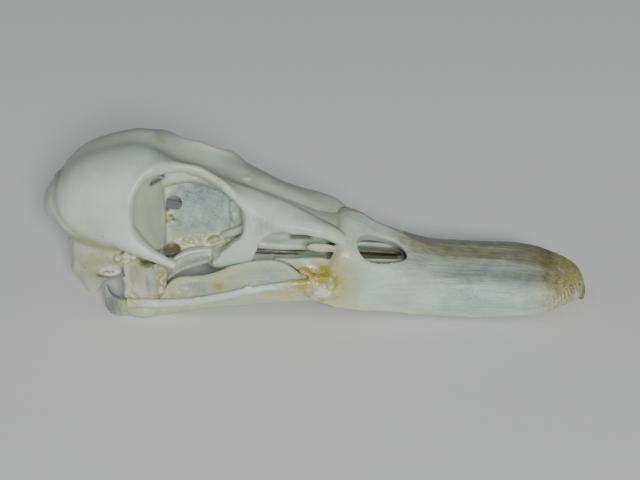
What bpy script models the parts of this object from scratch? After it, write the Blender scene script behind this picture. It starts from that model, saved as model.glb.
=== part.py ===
"""Duck skull with its lower jaw, life size, standing as a museum shows it.

The skull stands on the two heels of the lower jaw and on the hooked tip of the bill.
The origin is on the floor under the middle of its bounding box. +X runs to the tip
of the bill, +Y to the animal's left and +Z up. Sizes are in millimetres and turn
into metres where a mesh is made. Each bone is lofted and fused from a few forms,
smoothed as one skin and then thinned to few faces. Both halves come from the same
sizes, with y mirrored.
"""

import math

import bmesh
import bpy
import numpy as np
from mathutils import Matrix, Vector

MM = 0.001
RIGHT, LEFT = -1, 1
SIDES = (RIGHT, LEFT)

# Driving sizes of the whole skull
OCCIPUT_X = -57.6
BILL_TIP_X = 57.2
CROWN_Z = 36.9
BRAIN_HALF_WIDTH = 13.4
WAIST_HALF_WIDTH = 5.8
HINGE_X = 4.4
HINGE_HALF_WIDTH = 7.6
BILL_HALF_WIDTH = 11.4
JAW_HALF_WIDTH = 10.7
JOINT_GAP = 0.3
BELOW_FLOOR = (200, 60, 10)

# Thin bone
ROOF_THICKNESS = 1.7
SEPTUM_THICKNESS = 1.1

# Round openings
ORBIT_FRONT_X = -16.6
OPTIC_HOLE = {"x": -30.6, "z": 21.4, "radius": 1.65}
NOSTRIL = {"x": 13.4, "y": 5.7, "z": 14.2, "half_length": 5.3, "half_width": 3.2}

# How finely a curve between two written points is divided, and a rod's section
ROD_STEPS, ROD_SIDES, PLATE_STEPS = 5, 12, 4

# How fine the fused skin of each bone is, and how many faces it keeps
VOXEL = {
    "cranium": 0.5,
    "upper_bill": 0.45,
    "mandible": 0.42,
    "jugal_bar": 0.26,
    "quadrate": 0.32,
    "pterygoid": 0.32,
    "palatine": 0.28,
    "vomer": 0.26,
}
FACES = {
    "cranium": 4300,
    "upper_bill": 2600,
    "mandible": 1900,
    "jugal_bar": 150,
    "quadrate": 340,
    "pterygoid": 160,
    "palatine": 280,
    "vomer": 160,
}

BONE_COLOUR = (0.74, 0.72, 0.62, 1.0)
BILL_COLOUR = (0.68, 0.64, 0.52, 1.0)
JAW_COLOUR = (0.70, 0.67, 0.56, 1.0)
BONE_ROUGHNESS = 0.5


def side_name(side):
    return "right" if side == RIGHT else "left"


def clear_scene():
    """Removes whatever the file holds, so that only the skull is left."""
    for obj in list(bpy.data.objects):
        bpy.data.objects.remove(obj)


def bone_material(name, colour):
    """A plain dry-bone material."""
    material = bpy.data.materials.new(name)
    material.use_nodes = True
    shader = material.node_tree.nodes["Principled BSDF"]
    shader.inputs["Base Color"].default_value = colour
    shader.inputs["Roughness"].default_value = BONE_ROUGHNESS
    shader.inputs["Metallic"].default_value = 0.0
    return material


def smooth_value(stations, key, at):
    """A size between its stations, on a curve that never overshoots them."""
    places = np.array([s[0] for s in stations], float)
    values = np.array([s[1][key] for s in stations], float)
    steps, rises = np.diff(places), np.diff(values)
    slopes = rises / steps
    bends = np.zeros(len(places))
    for i in range(1, len(places) - 1):
        if slopes[i - 1] * slopes[i] > 0:
            weights = (2 * steps[i] + steps[i - 1], steps[i] + 2 * steps[i - 1])
            bends[i] = sum(weights) / (weights[0] / slopes[i - 1] + weights[1] / slopes[i])
    bends[0], bends[-1] = slopes[0], slopes[-1]
    i = int(np.clip(np.searchsorted(places, at) - 1, 0, len(steps) - 1))
    t = (min(max(at, places[0]), places[-1]) - places[i]) / steps[i]
    start, end = (1 + 2 * t) * (1 - t) ** 2, t * t * (3 - 2 * t)
    lead, trail = t * (1 - t) ** 2, t * t * (t - 1)
    return (
        start * values[i] + end * values[i + 1]
        + steps[i] * (lead * bends[i] + trail * bends[i + 1])
    )


def at_station(stations, at):
    """All the named sizes at one place along a loft."""
    return {key: smooth_value(stations, key, at) for key in stations[0][1]}


def power(value, exponent):
    return math.copysign(abs(value) ** exponent, value)


def oval(count, half_a, half_b, roundness=2.0):
    """Points of an oval in a plane. A roundness of 2 is an ellipse, and more is squarer."""
    turns = (2 * math.pi * i / count for i in range(count))
    sharpness = 2.0 / roundness
    return [
        (half_a * power(math.cos(t), sharpness), half_b * power(math.sin(t), sharpness))
        for t in turns
    ]


def mesh_object(name, bm):
    """An object of the finished bmesh, with its faces pointing out."""
    bmesh.ops.recalc_face_normals(bm, faces=bm.faces)
    mesh = bpy.data.meshes.new(name)
    bm.to_mesh(mesh)
    bm.free()
    obj = bpy.data.objects.new(name, mesh)
    bpy.context.scene.collection.objects.link(obj)
    return obj


def loft(name, rings):
    """A closed skin over rings of points in millimetres, capped at both ends."""
    bm = bmesh.new()
    loops = [[bm.verts.new(Vector(point) * MM) for point in ring] for ring in rings]
    count = len(rings[0])
    for near, far in zip(loops, loops[1:]):
        for i in range(count):
            j = (i + 1) % count
            bm.faces.new((near[i], near[j], far[j], far[i]))
    bm.faces.new(loops[0])
    bm.faces.new(loops[-1])
    return mesh_object(name, bm)


def ellipsoid(name, centre, radii):
    """An ellipsoid with its three half lengths along the axes."""
    bm = bmesh.new()
    bmesh.ops.create_uvsphere(bm, u_segments=24, v_segments=14, radius=1.0)
    shape = Matrix.Diagonal((*(r * MM for r in radii), 1.0))
    place = Matrix.Translation(Vector(centre) * MM)
    bmesh.ops.transform(bm, matrix=place @ shape, verts=bm.verts)
    return mesh_object(name, bm)


def along_curve(points, steps):
    """Points of a smooth curve through a few given ones, with extra numbers carried along."""
    data = np.array(points, float)
    padded = np.vstack([2 * data[0] - data[1], data, 2 * data[-1] - data[-2]])
    found = []
    for i in range(len(data) - 1):
        a, b, c, d = padded[i : i + 4]
        for t in np.linspace(0, 1, steps, endpoint=False):
            found.append(
                0.5 * (2 * b + (c - a) * t + (2 * a - 5 * b + 4 * c - d) * t**2
                       + (3 * b - a - 3 * c + d) * t**3)
            )
    found.append(data[-1])
    return np.array(found)


def rod(name, stations):
    """A rod through (x, y, z, half width across, half height) stations, flat or round."""
    path = along_curve(stations, ROD_STEPS)
    rings = []
    for i, (x, y, z, across, upright) in enumerate(path):
        before, after = path[max(i - 1, 0)][:3], path[min(i + 1, len(path) - 1)][:3]
        ahead = Vector(after - before).normalized()
        side = ahead.cross(Vector((0, 0, 1)))
        side = side.normalized() if side.length > 0.2 else Vector((0, -1, 0))
        rise = side.cross(ahead).normalized()
        rings.append(
            [Vector((x, y, z)) + side * a + rise * b for a, b in oval(ROD_SIDES, across, upright)]
        )
    return loft(name, rings)


def plate(name, outline, side, inner, outer):
    """A plate of a smooth outline in the side view, (x, z, lean), between two distances from the
    middle plane. A point's lean moves it that far in towards the middle."""
    points = along_curve([*outline, outline[0]], PLATE_STEPS)[:-1]
    rings = [
        [(x, side * (reach - lean), z) for x, z, lean in points] for reach in (inner, outer)
    ]
    return loft(name, rings)


def boolean(obj, others, operation):
    """Joins the other objects to this one, or cuts them out, and removes them."""
    group = bpy.data.collections.new("group")
    for other in others:
        group.objects.link(other)
    modifier = obj.modifiers.new(operation.title(), "BOOLEAN")
    modifier.operation = operation
    modifier.operand_type = "COLLECTION"
    modifier.collection = group
    apply_modifiers(obj)
    for other in others:
        bpy.data.objects.remove(other)
    bpy.data.collections.remove(group)


def apply_modifiers(obj):
    """Replaces the object's mesh by the one that its modifiers make."""
    bpy.context.view_layer.update()
    graph = bpy.context.evaluated_depsgraph_get()
    made = bpy.data.meshes.new_from_object(obj.evaluated_get(graph))
    obj.modifiers.clear()
    obj.data = made


def keep_largest(obj):
    """Drops every loose scrap but the largest closed surface."""
    bm = bmesh.new()
    bm.from_mesh(obj.data)
    left, islands = set(bm.verts), []
    while left:
        island, edge = set(), [left.pop()]
        while edge:
            vert = edge.pop()
            island.add(vert)
            near = {e.other_vert(vert) for e in vert.link_edges} & left
            left -= near
            edge.extend(near)
        islands.append(island)
    islands.sort(key=len)
    bmesh.ops.delete(bm, geom=[v for s in islands[:-1] for v in s], context="VERTS")
    bm.to_mesh(obj.data)
    bm.free()


def fuse(kind, pieces, cutters=(), side=None, rounding=2):
    """One bone: its forms joined, its openings cut, smoothed as one skin and thinned."""
    bone, *others = pieces
    bone.name = kind if side is None else f"{kind}_{side_name(side)}"
    if others:
        boolean(bone, others, "UNION")
    if cutters:
        boolean(bone, cutters, "DIFFERENCE")
    remesh = bone.modifiers.new("Skin", "REMESH")
    remesh.mode = "VOXEL"
    remesh.voxel_size = VOXEL[kind] * MM
    soften = bone.modifiers.new("Soften", "SMOOTH")
    soften.factor = 0.5
    soften.iterations = rounding
    apply_modifiers(bone)
    keep_largest(bone)
    thin = bone.modifiers.new("Thin", "DECIMATE")
    thin.ratio = min(1.0, FACES[kind] / (2.0 * len(bone.data.polygons)))
    thin.use_collapse_triangulate = True
    apply_modifiers(bone)
    return bone


def swollen_copy(obj, by):
    """A copy of a bone, pushed out along its normals by some millimetres."""
    copy = bpy.data.objects.new(obj.name + "_swollen", obj.data.copy())
    bpy.context.scene.collection.objects.link(copy)
    normals = [v.normal.copy() for v in copy.data.vertices]
    for vertex, normal in zip(copy.data.vertices, normals):
        vertex.co += normal * by * MM
    return copy


def clear_of(bone, *neighbours):
    """Cuts the bone back from its neighbours, so that they meet face to face with a small gap."""
    for neighbour in neighbours:
        boolean(bone, [swollen_copy(neighbour, JOINT_GAP)], "DIFFERENCE")
    keep_largest(bone)


def floor_cut(bone):
    """Takes off what would reach below the floor, which leaves small flats to stand on."""
    bm = bmesh.new()
    bmesh.ops.create_cube(bm, size=1.0)
    size = Vector(BELOW_FLOOR) * MM
    place = Matrix.Translation((0, 0, -size.z / 2)) @ Matrix.Diagonal((*size, 1.0))
    bmesh.ops.transform(bm, matrix=place, verts=bm.verts)
    boolean(bone, [mesh_object("below_floor", bm)], "DIFFERENCE")
    keep_largest(bone)


# Cranium

BRAINCASE = [
    (OCCIPUT_X, {"half": 2.8, "top": 22.8, "bottom": 19.8, "wide": 21.4, "groove": 0.0}),
    (-56.6, {"half": 5.2, "top": 24.2, "bottom": 18.8, "wide": 21.8, "groove": 0.1}),
    (-54.7, {"half": 7.2, "top": 27.0, "bottom": 17.8, "wide": 22.2, "groove": 0.3}),
    (-52.4, {"half": 9.9, "top": 30.3, "bottom": 15.2, "wide": 22.6, "groove": 0.4}),
    (-50.0, {"half": 11.4, "top": 32.7, "bottom": 13.6, "wide": 23.0, "groove": 0.5}),
    (-46.0, {"half": 12.7, "top": 34.8, "bottom": 11.6, "wide": 23.4, "groove": 0.5}),
    (-42.0, {"half": 13.3, "top": 36.1, "bottom": 10.8, "wide": 23.8, "groove": 0.7}),
    (-38.0, {"half": BRAIN_HALF_WIDTH, "top": CROWN_Z, "bottom": 10.6, "wide": 24.0, "groove": 0.9}),
    (-35.0, {"half": 12.8, "top": 36.9, "bottom": 10.6, "wide": 24.2, "groove": 1.5}),
    (-32.5, {"half": 9.6, "top": 35.8, "bottom": 11.0, "wide": 24.6, "groove": 1.6}),
]
GROOVE_HALF_WIDTH = 3.4

# Across the roof: the valley on the middle line, the crest beside it, the shoulder and the edge
ROOF = [
    (-38.0, {"valley": 34.4, "crest_y": 4.6, "crest": 34.8, "shoulder_y": 8.0, "shoulder": 33.4,
             "edge_y": 10.0, "edge": 31.0}),
    (-33.6, {"valley": 34.4, "crest_y": 4.8, "crest": 35.2, "shoulder_y": 8.0, "shoulder": 34.2,
             "edge_y": 9.3, "edge": 33.2}),
    (-29.0, {"valley": 31.9, "crest_y": 4.6, "crest": 33.5, "shoulder_y": 5.9, "shoulder": 33.7,
             "edge_y": 6.4, "edge": 32.9}),
    (-25.0, {"valley": 30.6, "crest_y": 4.2, "crest": 32.2, "shoulder_y": 5.4, "shoulder": 32.7,
             "edge_y": WAIST_HALF_WIDTH, "edge": 32.0}),
    (-21.3, {"valley": 29.0, "crest_y": 4.4, "crest": 30.2, "shoulder_y": 6.2, "shoulder": 30.9,
             "edge_y": 6.7, "edge": 30.2}),
    (-17.6, {"valley": 27.1, "crest_y": 4.2, "crest": 28.4, "shoulder_y": 7.9, "shoulder": 29.0,
             "edge_y": 8.8, "edge": 28.0}),
    (-15.6, {"valley": 26.1, "crest_y": 3.8, "crest": 27.6, "shoulder_y": 7.8, "shoulder": 27.3,
             "edge_y": 9.0, "edge": 25.8}),
    (-12.5, {"valley": 24.7, "crest_y": 3.0, "crest": 26.3, "shoulder_y": 7.2, "shoulder": 25.9,
             "edge_y": 9.3, "edge": 22.8}),
    (-8.3, {"valley": 22.9, "crest_y": 3.0, "crest": 24.5, "shoulder_y": 7.0, "shoulder": 23.6,
            "edge_y": 9.2, "edge": 20.4}),
    (-4.0, {"valley": 20.9, "crest_y": 3.0, "crest": 22.5, "shoulder_y": 7.0, "shoulder": 22.0,
            "edge_y": 8.9, "edge": 19.6}),
    (0.2, {"valley": 18.7, "crest_y": 3.0, "crest": 20.3, "shoulder_y": 6.8, "shoulder": 20.7,
           "edge_y": 8.6, "edge": 19.0}),
    (HINGE_X, {"valley": 17.4, "crest_y": 3.0, "crest": 18.5, "shoulder_y": 6.2, "shoulder": 19.4,
               "edge_y": HINGE_HALF_WIDTH, "edge": 18.0}),
]

ORBIT = [
    (0.55, {"back": -33.2, "low": 12.2, "high": 30.6}),
    (4.0, {"back": -33.8, "low": 11.4, "high": 32.4}),
    (9.0, {"back": -35.9, "low": 11.8, "high": 37.0}),
    (12.5, {"back": -38.2, "low": 14.0, "high": 37.8}),
    (16.0, {"back": -39.4, "low": 14.0, "high": 38.6}),
]


def braincase():
    """The brain's dome, from the back of the head to the back of the eye sockets."""
    rings = []
    for x in np.linspace(BRAINCASE[0][0], BRAINCASE[-1][0], 24):
        at = at_station(BRAINCASE, x)
        ring = []
        for y, rise in oval(36, at["half"], 1.0, 2.15):
            reach = at["top"] - at["wide"] if rise > 0 else at["wide"] - at["bottom"]
            groove = at["groove"] * math.exp(-((y / GROOVE_HALF_WIDTH) ** 2)) if rise > 0 else 0.0
            ring.append((x, y, at["wide"] + rise * reach - groove))
        rings.append(ring)
    return loft("braincase", rings)


def roof():
    """The forehead plate, waisted over the eyes, with a valley between its two raised rims."""
    rings = []
    for x in np.linspace(ROOF[0][0], ROOF[-1][0], 26):
        at = at_station(ROOF, x)
        half = [(at["crest_y"], at["crest"]), (at["shoulder_y"], at["shoulder"]),
                (at["edge_y"], at["edge"])]
        profile = [(-y, z) for y, z in reversed(half)] + [(0.0, at["valley"])] + half
        top = [(x, y, z) for y, z in along_curve(profile, 3)]
        under = [(x, y * 0.93, z - ROOF_THICKNESS) for x, y, z in reversed(top)]
        rings.append(top + under)
    return loft("roof", rings)


def orbit_cutter(side):
    """The hollow of one eye socket, from the septum outwards."""
    rings = []
    for reach in np.linspace(ORBIT[0][0], ORBIT[-1][0], 9):
        at = at_station(ORBIT, reach)
        centre = (at["back"] + ORBIT_FRONT_X) / 2, (at["low"] + at["high"]) / 2
        ring = oval(28, (ORBIT_FRONT_X - at["back"]) / 2, (at["high"] - at["low"]) / 2, 2.4)
        rings.append([(centre[0] + a, side * reach, centre[1] + b) for a, b in ring])
    return loft("orbit_hollow", rings)


def round_hole(name, x, z, half_x, half_z, reach):
    """A straight oval hole across the skull, as far out as its reach on both sides."""
    ring = [(x + a, z + b) for a, b in oval(20, half_x, half_z, 2.2)]
    return loft(name, [[(a, y, b) for a, b in ring] for y in (-reach, reach)])


def septum():
    """The thin wall between the eye sockets, with the rostrum along its lower edge."""
    outline = [
        (-35.0, 32.0, 0), (-27.0, 32.0, 0), (-19.0, 28.4, 0), (-8.0, 21.4, 0),
        (-4.0, 17.6, 0), (-8.0, 12.6, 0), (-24.0, 10.4, 0), (-35.0, 10.4, 0),
    ]
    half = SEPTUM_THICKNESS / 2
    wall = plate("septum", outline, RIGHT, -half, half)
    radius = OPTIC_HOLE["radius"]
    hole = round_hole("optic_hole", OPTIC_HOLE["x"], OPTIC_HOLE["z"], radius, radius, 3)
    boolean(wall, [hole], "DIFFERENCE")
    rostrum = rod(
        "rostrum",
        [(-39, 0, 10.4, 4.2, 1.8), (-32, 0, 10.6, 2.6, 1.6), (-24, 0, 11.2, 1.3, 1.3),
         (-10, 0, 12.4, 0.8, 0.9)],
    )
    return [wall, rostrum]


OCCIPUT = [
    (-51.7, {"half": 5.6, "top": 17.4, "bottom": 12.0}),
    (-50.9, {"half": 8.6, "top": 20.0, "bottom": 9.6}),
    (-45.0, {"half": 10.7, "top": 21.0, "bottom": 7.8}),
    (-39.5, {"half": 9.4, "top": 20.0, "bottom": 8.4}),
    (-34.5, {"half": 4.4, "top": 18.0, "bottom": 9.6}),
]


def occiput():
    """The back of the head below the dome, with the ball that the neck turned on."""
    rings = []
    for x in np.linspace(OCCIPUT[0][0], OCCIPUT[-1][0], 12):
        at = at_station(OCCIPUT, x)
        middle, reach = (at["top"] + at["bottom"]) / 2, (at["top"] - at["bottom"]) / 2
        ring = oval(24, at["half"], reach, 2.8)
        rings.append([(x, y, middle + z) for y, z in ring])
    ball = ellipsoid("condyle", (-51.9, 0, 11.8), (1.7, 1.7, 1.4))
    return [loft("occiput", rings), ball]


def upright_form(name, stations, side, roundness=2.0):
    """A form stacked up in Z from ovals of (z, x, y, half length, half width)."""
    path = along_curve(stations, 4)
    return loft(
        name,
        [
            [(x + a, side * (y + b), z) for a, b in oval(16, long, wide, roundness)]
            for z, x, y, long, wide in path
        ],
    )


LACRIMAL = [
    (-17.2, 28.2, 0.4), (-15.6, 24.6, 0.1), (-15.3, 21.4, 0.0), (-17.0, 18.2, 0.2),
    (-19.8, 15.2, 0.4), (-20.9, 12.9, 0.6), (-22.2, 11.6, 0.8), (-21.0, 10.7, 0.9),
    (-17.8, 11.3, 0.8), (-14.2, 12.2, 0.6), (-12.9, 14.8, 0.3), (-12.2, 17.2, 0.1),
    (-9.6, 19.2, 0.0), (-6.4, 20.6, 0.0), (-11.0, 24.0, 0.0), (-14.6, 27.2, 0.2),
]


def side_forms(side):
    """What one side of the cranium adds: its processes and the blade in front of the eye."""
    postorbital = rod(
        "postorbital",
        [(-45.0, side * 8.4, 22.0, 3.0, 4.4), (-40.4, side * 10.9, 19.8, 2.5, 3.7),
         (-37.0, side * 12.6, 17.9, 1.8, 2.2), (-33.4, side * 13.6, 16.1, 1.0, 1.1),
         (-29.0, side * 14.1, 14.1, 0.6, 0.6)],
    )
    paroccipital = upright_form(
        "paroccipital",
        [(15.0, -46.6, 8.4, 5.0, 2.4), (10.0, -47.1, 8.8, 4.0, 1.7),
         (7.0, -47.2, 8.8, 2.4, 1.1), (4.2, -47.2, 8.6, 0.8, 0.7)],
        side,
    )
    ectethmoid = upright_form(
        "ectethmoid",
        [(27.0, -15.6, 4.6, 1.0, 3.4), (21.0, -15.0, 4.2, 1.0, 3.4),
         (14.0, -14.8, 2.4, 1.0, 2.2), (12.0, -14.8, 1.2, 0.9, 1.2)],
        side, 3.0,
    )
    blade = plate("lacrimal", LACRIMAL, side, 7.3, 9.0)
    return [postorbital, paroccipital, ectethmoid, blade]


def cranium():
    """The cranium as one bone: dome, forehead, septum, occiput and processes."""
    dome = braincase()
    boolean(dome, [orbit_cutter(side) for side in SIDES], "DIFFERENCE")
    pieces = [dome, roof(), *septum(), *occiput()]
    cutters = [ellipsoid("foramen_magnum", (-53.0, 0, 16.0), (4.8, 2.8, 2.4))]
    for side in SIDES:
        pieces += side_forms(side)
        cutters.append(ellipsoid("ear", (-43.4, side * 12.2, 11.2), (2.8, 3.0, 1.7)))
        cutters.append(ellipsoid("fontanelle", (-55.2, side * 4.6, 18.4), (2.2, 1.5, 1.1)))
    return fuse("cranium", pieces, cutters, rounding=3)


# Upper bill

BILL = [
    (-3.4, {"half": 10.6, "body": 9.8, "ridge": 0.0, "spread": 4.0, "edge": 5.6, "square": 2.6}),
    (-1.0, {"half": 10.8, "body": 11.2, "ridge": 0.0, "spread": 4.0, "edge": 4.6, "square": 2.8}),
    (1.6, {"half": 10.8, "body": 13.6, "ridge": 0.0, "spread": 5.0, "edge": 3.4, "square": 3.0}),
    (4.7, {"half": 10.7, "body": 17.8, "ridge": 1.2, "spread": 5.0, "edge": 2.4, "square": 3.5}),
    (8.7, {"half": 10.6, "body": 16.2, "ridge": 2.6, "spread": 4.0, "edge": 1.9, "square": 3.6}),
    (13.0, {"half": 10.5, "body": 14.4, "ridge": 2.4, "spread": 3.2, "edge": 1.7, "square": 3.6}),
    (17.4, {"half": 10.5, "body": 13.1, "ridge": 2.0, "spread": 2.8, "edge": 1.4, "square": 3.2}),
    (20.5, {"half": 10.6, "body": 12.1, "ridge": 1.4, "spread": 2.6, "edge": 1.2, "square": 3.0}),
    (26.0, {"half": 10.8, "body": 11.0, "ridge": 0.4, "spread": 2.6, "edge": 1.0, "square": 2.8}),
    (35.0, {"half": 11.2, "body": 10.6, "ridge": 0.0, "spread": 2.6, "edge": 1.1, "square": 2.6}),
    (42.0, {"half": BILL_HALF_WIDTH, "body": 10.3, "ridge": 0.0, "spread": 2.6, "edge": 1.6,
            "square": 2.6}),
    (47.5, {"half": 10.6, "body": 9.7, "ridge": 0.0, "spread": 2.6, "edge": 1.9, "square": 2.5}),
    (51.6, {"half": 8.6, "body": 8.6, "ridge": 0.0, "spread": 2.6, "edge": 2.5, "square": 2.4}),
    (54.4, {"half": 6.8, "body": 7.7, "ridge": 0.0, "spread": 2.6, "edge": 2.9, "square": 2.3}),
    (56.4, {"half": 4.7, "body": 6.5, "ridge": 0.0, "spread": 2.6, "edge": 2.6, "square": 2.2}),
    (BILL_TIP_X, {"half": 2.9, "body": 5.1, "ridge": 0.0, "spread": 2.6, "edge": 2.3,
                  "square": 2.2}),
]
ARCH_POINTS = 36


def arch(x, at):
    """One cross-section of the bill: upright sides, a low arched roof and the ridge on it."""
    ring = []
    for y, rise in oval(ARCH_POINTS, at["half"], 1.0, at["square"])[: ARCH_POINTS // 2 + 1]:
        height = max(rise, 0.0) * (at["body"] - at["edge"])
        ridge = at["ridge"] * math.exp(-((y / at["spread"]) ** 2)) if rise > 0 else 0.0
        ring.append((x, y, at["edge"] + height + ridge))
    under = [(x, share * at["half"], at["edge"]) for share in (-0.5, 0.0, 0.5)]
    return ring + under


def hollow(name, stations, roundness, count):
    """A tube along X through ovals of (x, half, top, bottom), to cut a hollow with."""
    rings = []
    for x in np.linspace(stations[0][0], stations[-1][0], count):
        at = at_station(stations, x)
        middle, reach = (at["top"] + at["bottom"]) / 2, (at["top"] - at["bottom"]) / 2
        rings.append([(x, y, middle + z) for y, z in oval(24, at["half"], reach, roundness)])
    return loft(name, rings)


TROUGH = [
    (-8.0, {"half": 9.5, "top": 9.8, "bottom": -3.0}),
    (4.0, {"half": 9.3, "top": 9.4, "bottom": -3.0}),
    (20.0, {"half": 9.3, "top": 8.6, "bottom": -3.0}),
    (38.0, {"half": 10.0, "top": 7.8, "bottom": -2.0}),
    (47.0, {"half": 9.2, "top": 6.8, "bottom": -1.0}),
    (51.0, {"half": 7.3, "top": 6.0, "bottom": 0.0}),
    (54.0, {"half": 4.6, "top": 5.0, "bottom": 1.0}),
]

NOSE = [
    (-8.0, {"half": 8.3, "top": 24.0, "bottom": 9.6}),
    (2.6, {"half": 8.0, "top": 16.8, "bottom": 10.6}),
    (8.0, {"half": 7.2, "top": 15.2, "bottom": 10.4}),
    (14.0, {"half": 6.9, "top": 13.4, "bottom": 10.0}),
    (19.0, {"half": 5.6, "top": 12.0, "bottom": 9.8}),
    (22.0, {"half": 3.6, "top": 11.2, "bottom": 9.8}),
]


def nostril_cutter(side):
    """One long oval nostril, cut square to the slope of the bill's side."""
    centre = Vector((NOSTRIL["x"], side * NOSTRIL["y"], NOSTRIL["z"]))
    out = Vector((0, side * 0.47, 0.88)).normalized()
    along = Vector((1, 0, -0.24)).normalized()
    across = out.cross(along)
    ring = oval(20, NOSTRIL["half_length"], NOSTRIL["half_width"], 2.3)
    return loft(
        "nostril",
        [[centre + out * depth + along * a + across * b for a, b in ring] for depth in (7, -4)],
    )


def upper_bill():
    """The upper bill, an arched shell over the lower jaw, open at the nostrils."""
    rings = [arch(x, at_station(BILL, x)) for x in np.linspace(BILL[0][0], BILL_TIP_X, 46)]
    body = loft("bill", rings)
    nail = rod(
        "nail",
        [(53.0, 0, 5.8, 4.0, 1.5), (55.6, 0, 4.6, 3.8, 1.4), (56.8, 0, 3.1, 3.3, 1.0),
         (57.3, 0, 1.5, 2.6, 0.8), (57.3, 0, -0.3, 1.7, 0.6)],
    )
    boolean(body, [nail], "UNION")
    antorbital = round_hole("antorbital", -4.4, 17.4, 7.6, 2.6, 15)
    cutters = [hollow("trough", TROUGH, 3.4, 24), hollow("nose", NOSE, 3.0, 16), antorbital]
    for cutter in (*cutters, *[nostril_cutter(side) for side in SIDES]):
        boolean(body, [cutter], "DIFFERENCE")
    bone = fuse("upper_bill", [body])
    floor_cut(bone)
    return bone


# Lower jaw

JAW = [
    (-41.4, {"out": 10.9, "low": 0.3, "high": 3.8, "thick": 2.0}),
    (-37.0, {"out": JAW_HALF_WIDTH, "low": -0.4, "high": 3.5, "thick": 2.6}),
    (-34.0, {"out": 10.5, "low": -0.3, "high": 4.0, "thick": 2.4}),
    (-32.0, {"out": 10.3, "low": 0.0, "high": 6.1, "thick": 2.0}),
    (-28.2, {"out": 10.2, "low": 0.8, "high": 9.0, "thick": 1.8}),
    (-21.5, {"out": 10.0, "low": 1.8, "high": 9.6, "thick": 1.7}),
    (-17.9, {"out": 9.9, "low": 2.1, "high": 11.5, "thick": 1.7}),
    (-14.2, {"out": 9.8, "low": 2.4, "high": 12.8, "thick": 1.7}),
    (-10.5, {"out": 9.6, "low": 2.7, "high": 13.3, "thick": 1.8}),
    (-7.9, {"out": 9.5, "low": 2.9, "high": 12.8, "thick": 1.8}),
    (-4.2, {"out": 9.1, "low": 3.0, "high": 9.8, "thick": 1.8}),
    (-2.2, {"out": 8.8, "low": 2.9, "high": 8.2, "thick": 1.8}),
    (6.0, {"out": 8.1, "low": 2.4, "high": 7.2, "thick": 1.7}),
    (24.0, {"out": 8.0, "low": 1.5, "high": 6.4, "thick": 1.6}),
    (40.0, {"out": 8.5, "low": 1.3, "high": 5.2, "thick": 1.7}),
    (46.0, {"out": 7.7, "low": 1.6, "high": 4.5, "thick": 2.0}),
    (50.0, {"out": 5.4, "low": 1.9, "high": 4.1, "thick": 2.4}),
    (52.0, {"out": 2.6, "low": 2.0, "high": 3.9, "thick": 2.6}),
]


def jaw_path():
    """The middle line of the lower jaw, from the right heel round the tip to the left heel."""
    rear = np.linspace(JAW[0][0], -2.2, 24)
    front = [1.5, 6, 12, 18, 24, 32, 40, 43, 46, 48.2, 50, 51.2, 52]
    right = [(x, -at_station(JAW, x)["out"], at_station(JAW, x)) for x in (*rear, *front)]
    tip = (52.4, 0.0, at_station(JAW, 52.0))
    left = [(x, -y, at) for x, y, at in reversed(right)]
    return [*right, tip, *left]


def jaw_loop():
    """Both rami as one loft, with a section square to the path at each place."""
    path = jaw_path()
    rings = []
    for i, (x, y, at) in enumerate(path):
        before, after = path[max(i - 1, 0)], path[min(i + 1, len(path) - 1)]
        ahead = Vector((after[0] - before[0], after[1] - before[1], 0)).normalized()
        side = Vector((-ahead.y, ahead.x, 0))
        middle, reach = (at["high"] + at["low"]) / 2, (at["high"] - at["low"]) / 2
        ring = oval(18, at["thick"] / 2, reach, 2.6)
        rings.append([Vector((x, y, middle)) + side * a + Vector((0, 0, b)) for a, b in ring])
    return loft("rami", rings)


CHIN = [(46.6, 6.4), (50.2, 4.8), (52.4, 0.0), (50.2, -4.8), (46.6, -6.4), (45.0, 0.0)]
CHIN_UNDER, CHIN_TOP = 2.2, 3.4


def heel(side):
    """The back end of one ramus: the cup of the joint, its inner spur and the upturned hook."""
    hook = rod(
        "hook",
        [(-38.0, side * 10.9, 1.8, 1.4, 2.0), (-41.8, side * 11.0, 1.9, 1.0, 1.9),
         (-43.9, side * 11.0, 3.3, 0.8, 1.2), (-44.0, side * 10.9, 5.2, 0.6, 0.8),
         (-43.6, side * 10.8, 7.0, 0.45, 0.5)],
    )
    cup = ellipsoid("cup", (-36.8, side * 10.3, 1.8), (4.2, 2.9, 2.2))
    spur = rod("spur", [(-36.6, side * 9.0, 2.2, 1.4, 1.3), (-37.4, side * 6.4, 3.2, 0.8, 0.8)])
    return [hook, cup, spur]


def mandible():
    """The lower jaw as one bone: two rami that meet at the tip, each with a hooked heel."""
    curve = along_curve([*CHIN, CHIN[0]], 4)[:-1]
    chin = loft("chin", [[(x, y, z) for x, y in curve] for z in (CHIN_UNDER, CHIN_TOP)])
    bone = fuse("mandible", [jaw_loop(), chin, *heel(RIGHT), *heel(LEFT)])
    floor_cut(bone)
    return bone


# Small paired bones

def jugal_bar(side):
    """The thin cheek bar from the quadrate to the base of the bill."""
    bar = rod(
        "bar",
        [(-39.8, side * 12.7, 4.3, 0.75, 1.1), (-33.0, side * 12.8, 4.3, 0.65, 0.95),
         (-25.0, side * 12.6, 5.0, 0.6, 0.85), (-16.0, side * 12.2, 7.0, 0.55, 0.8),
         (-8.0, side * 11.6, 8.4, 0.6, 0.8), (-4.0, side * 11.1, 8.9, 0.8, 1.0)],
    )
    return fuse("jugal_bar", [bar], side=side)


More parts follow.
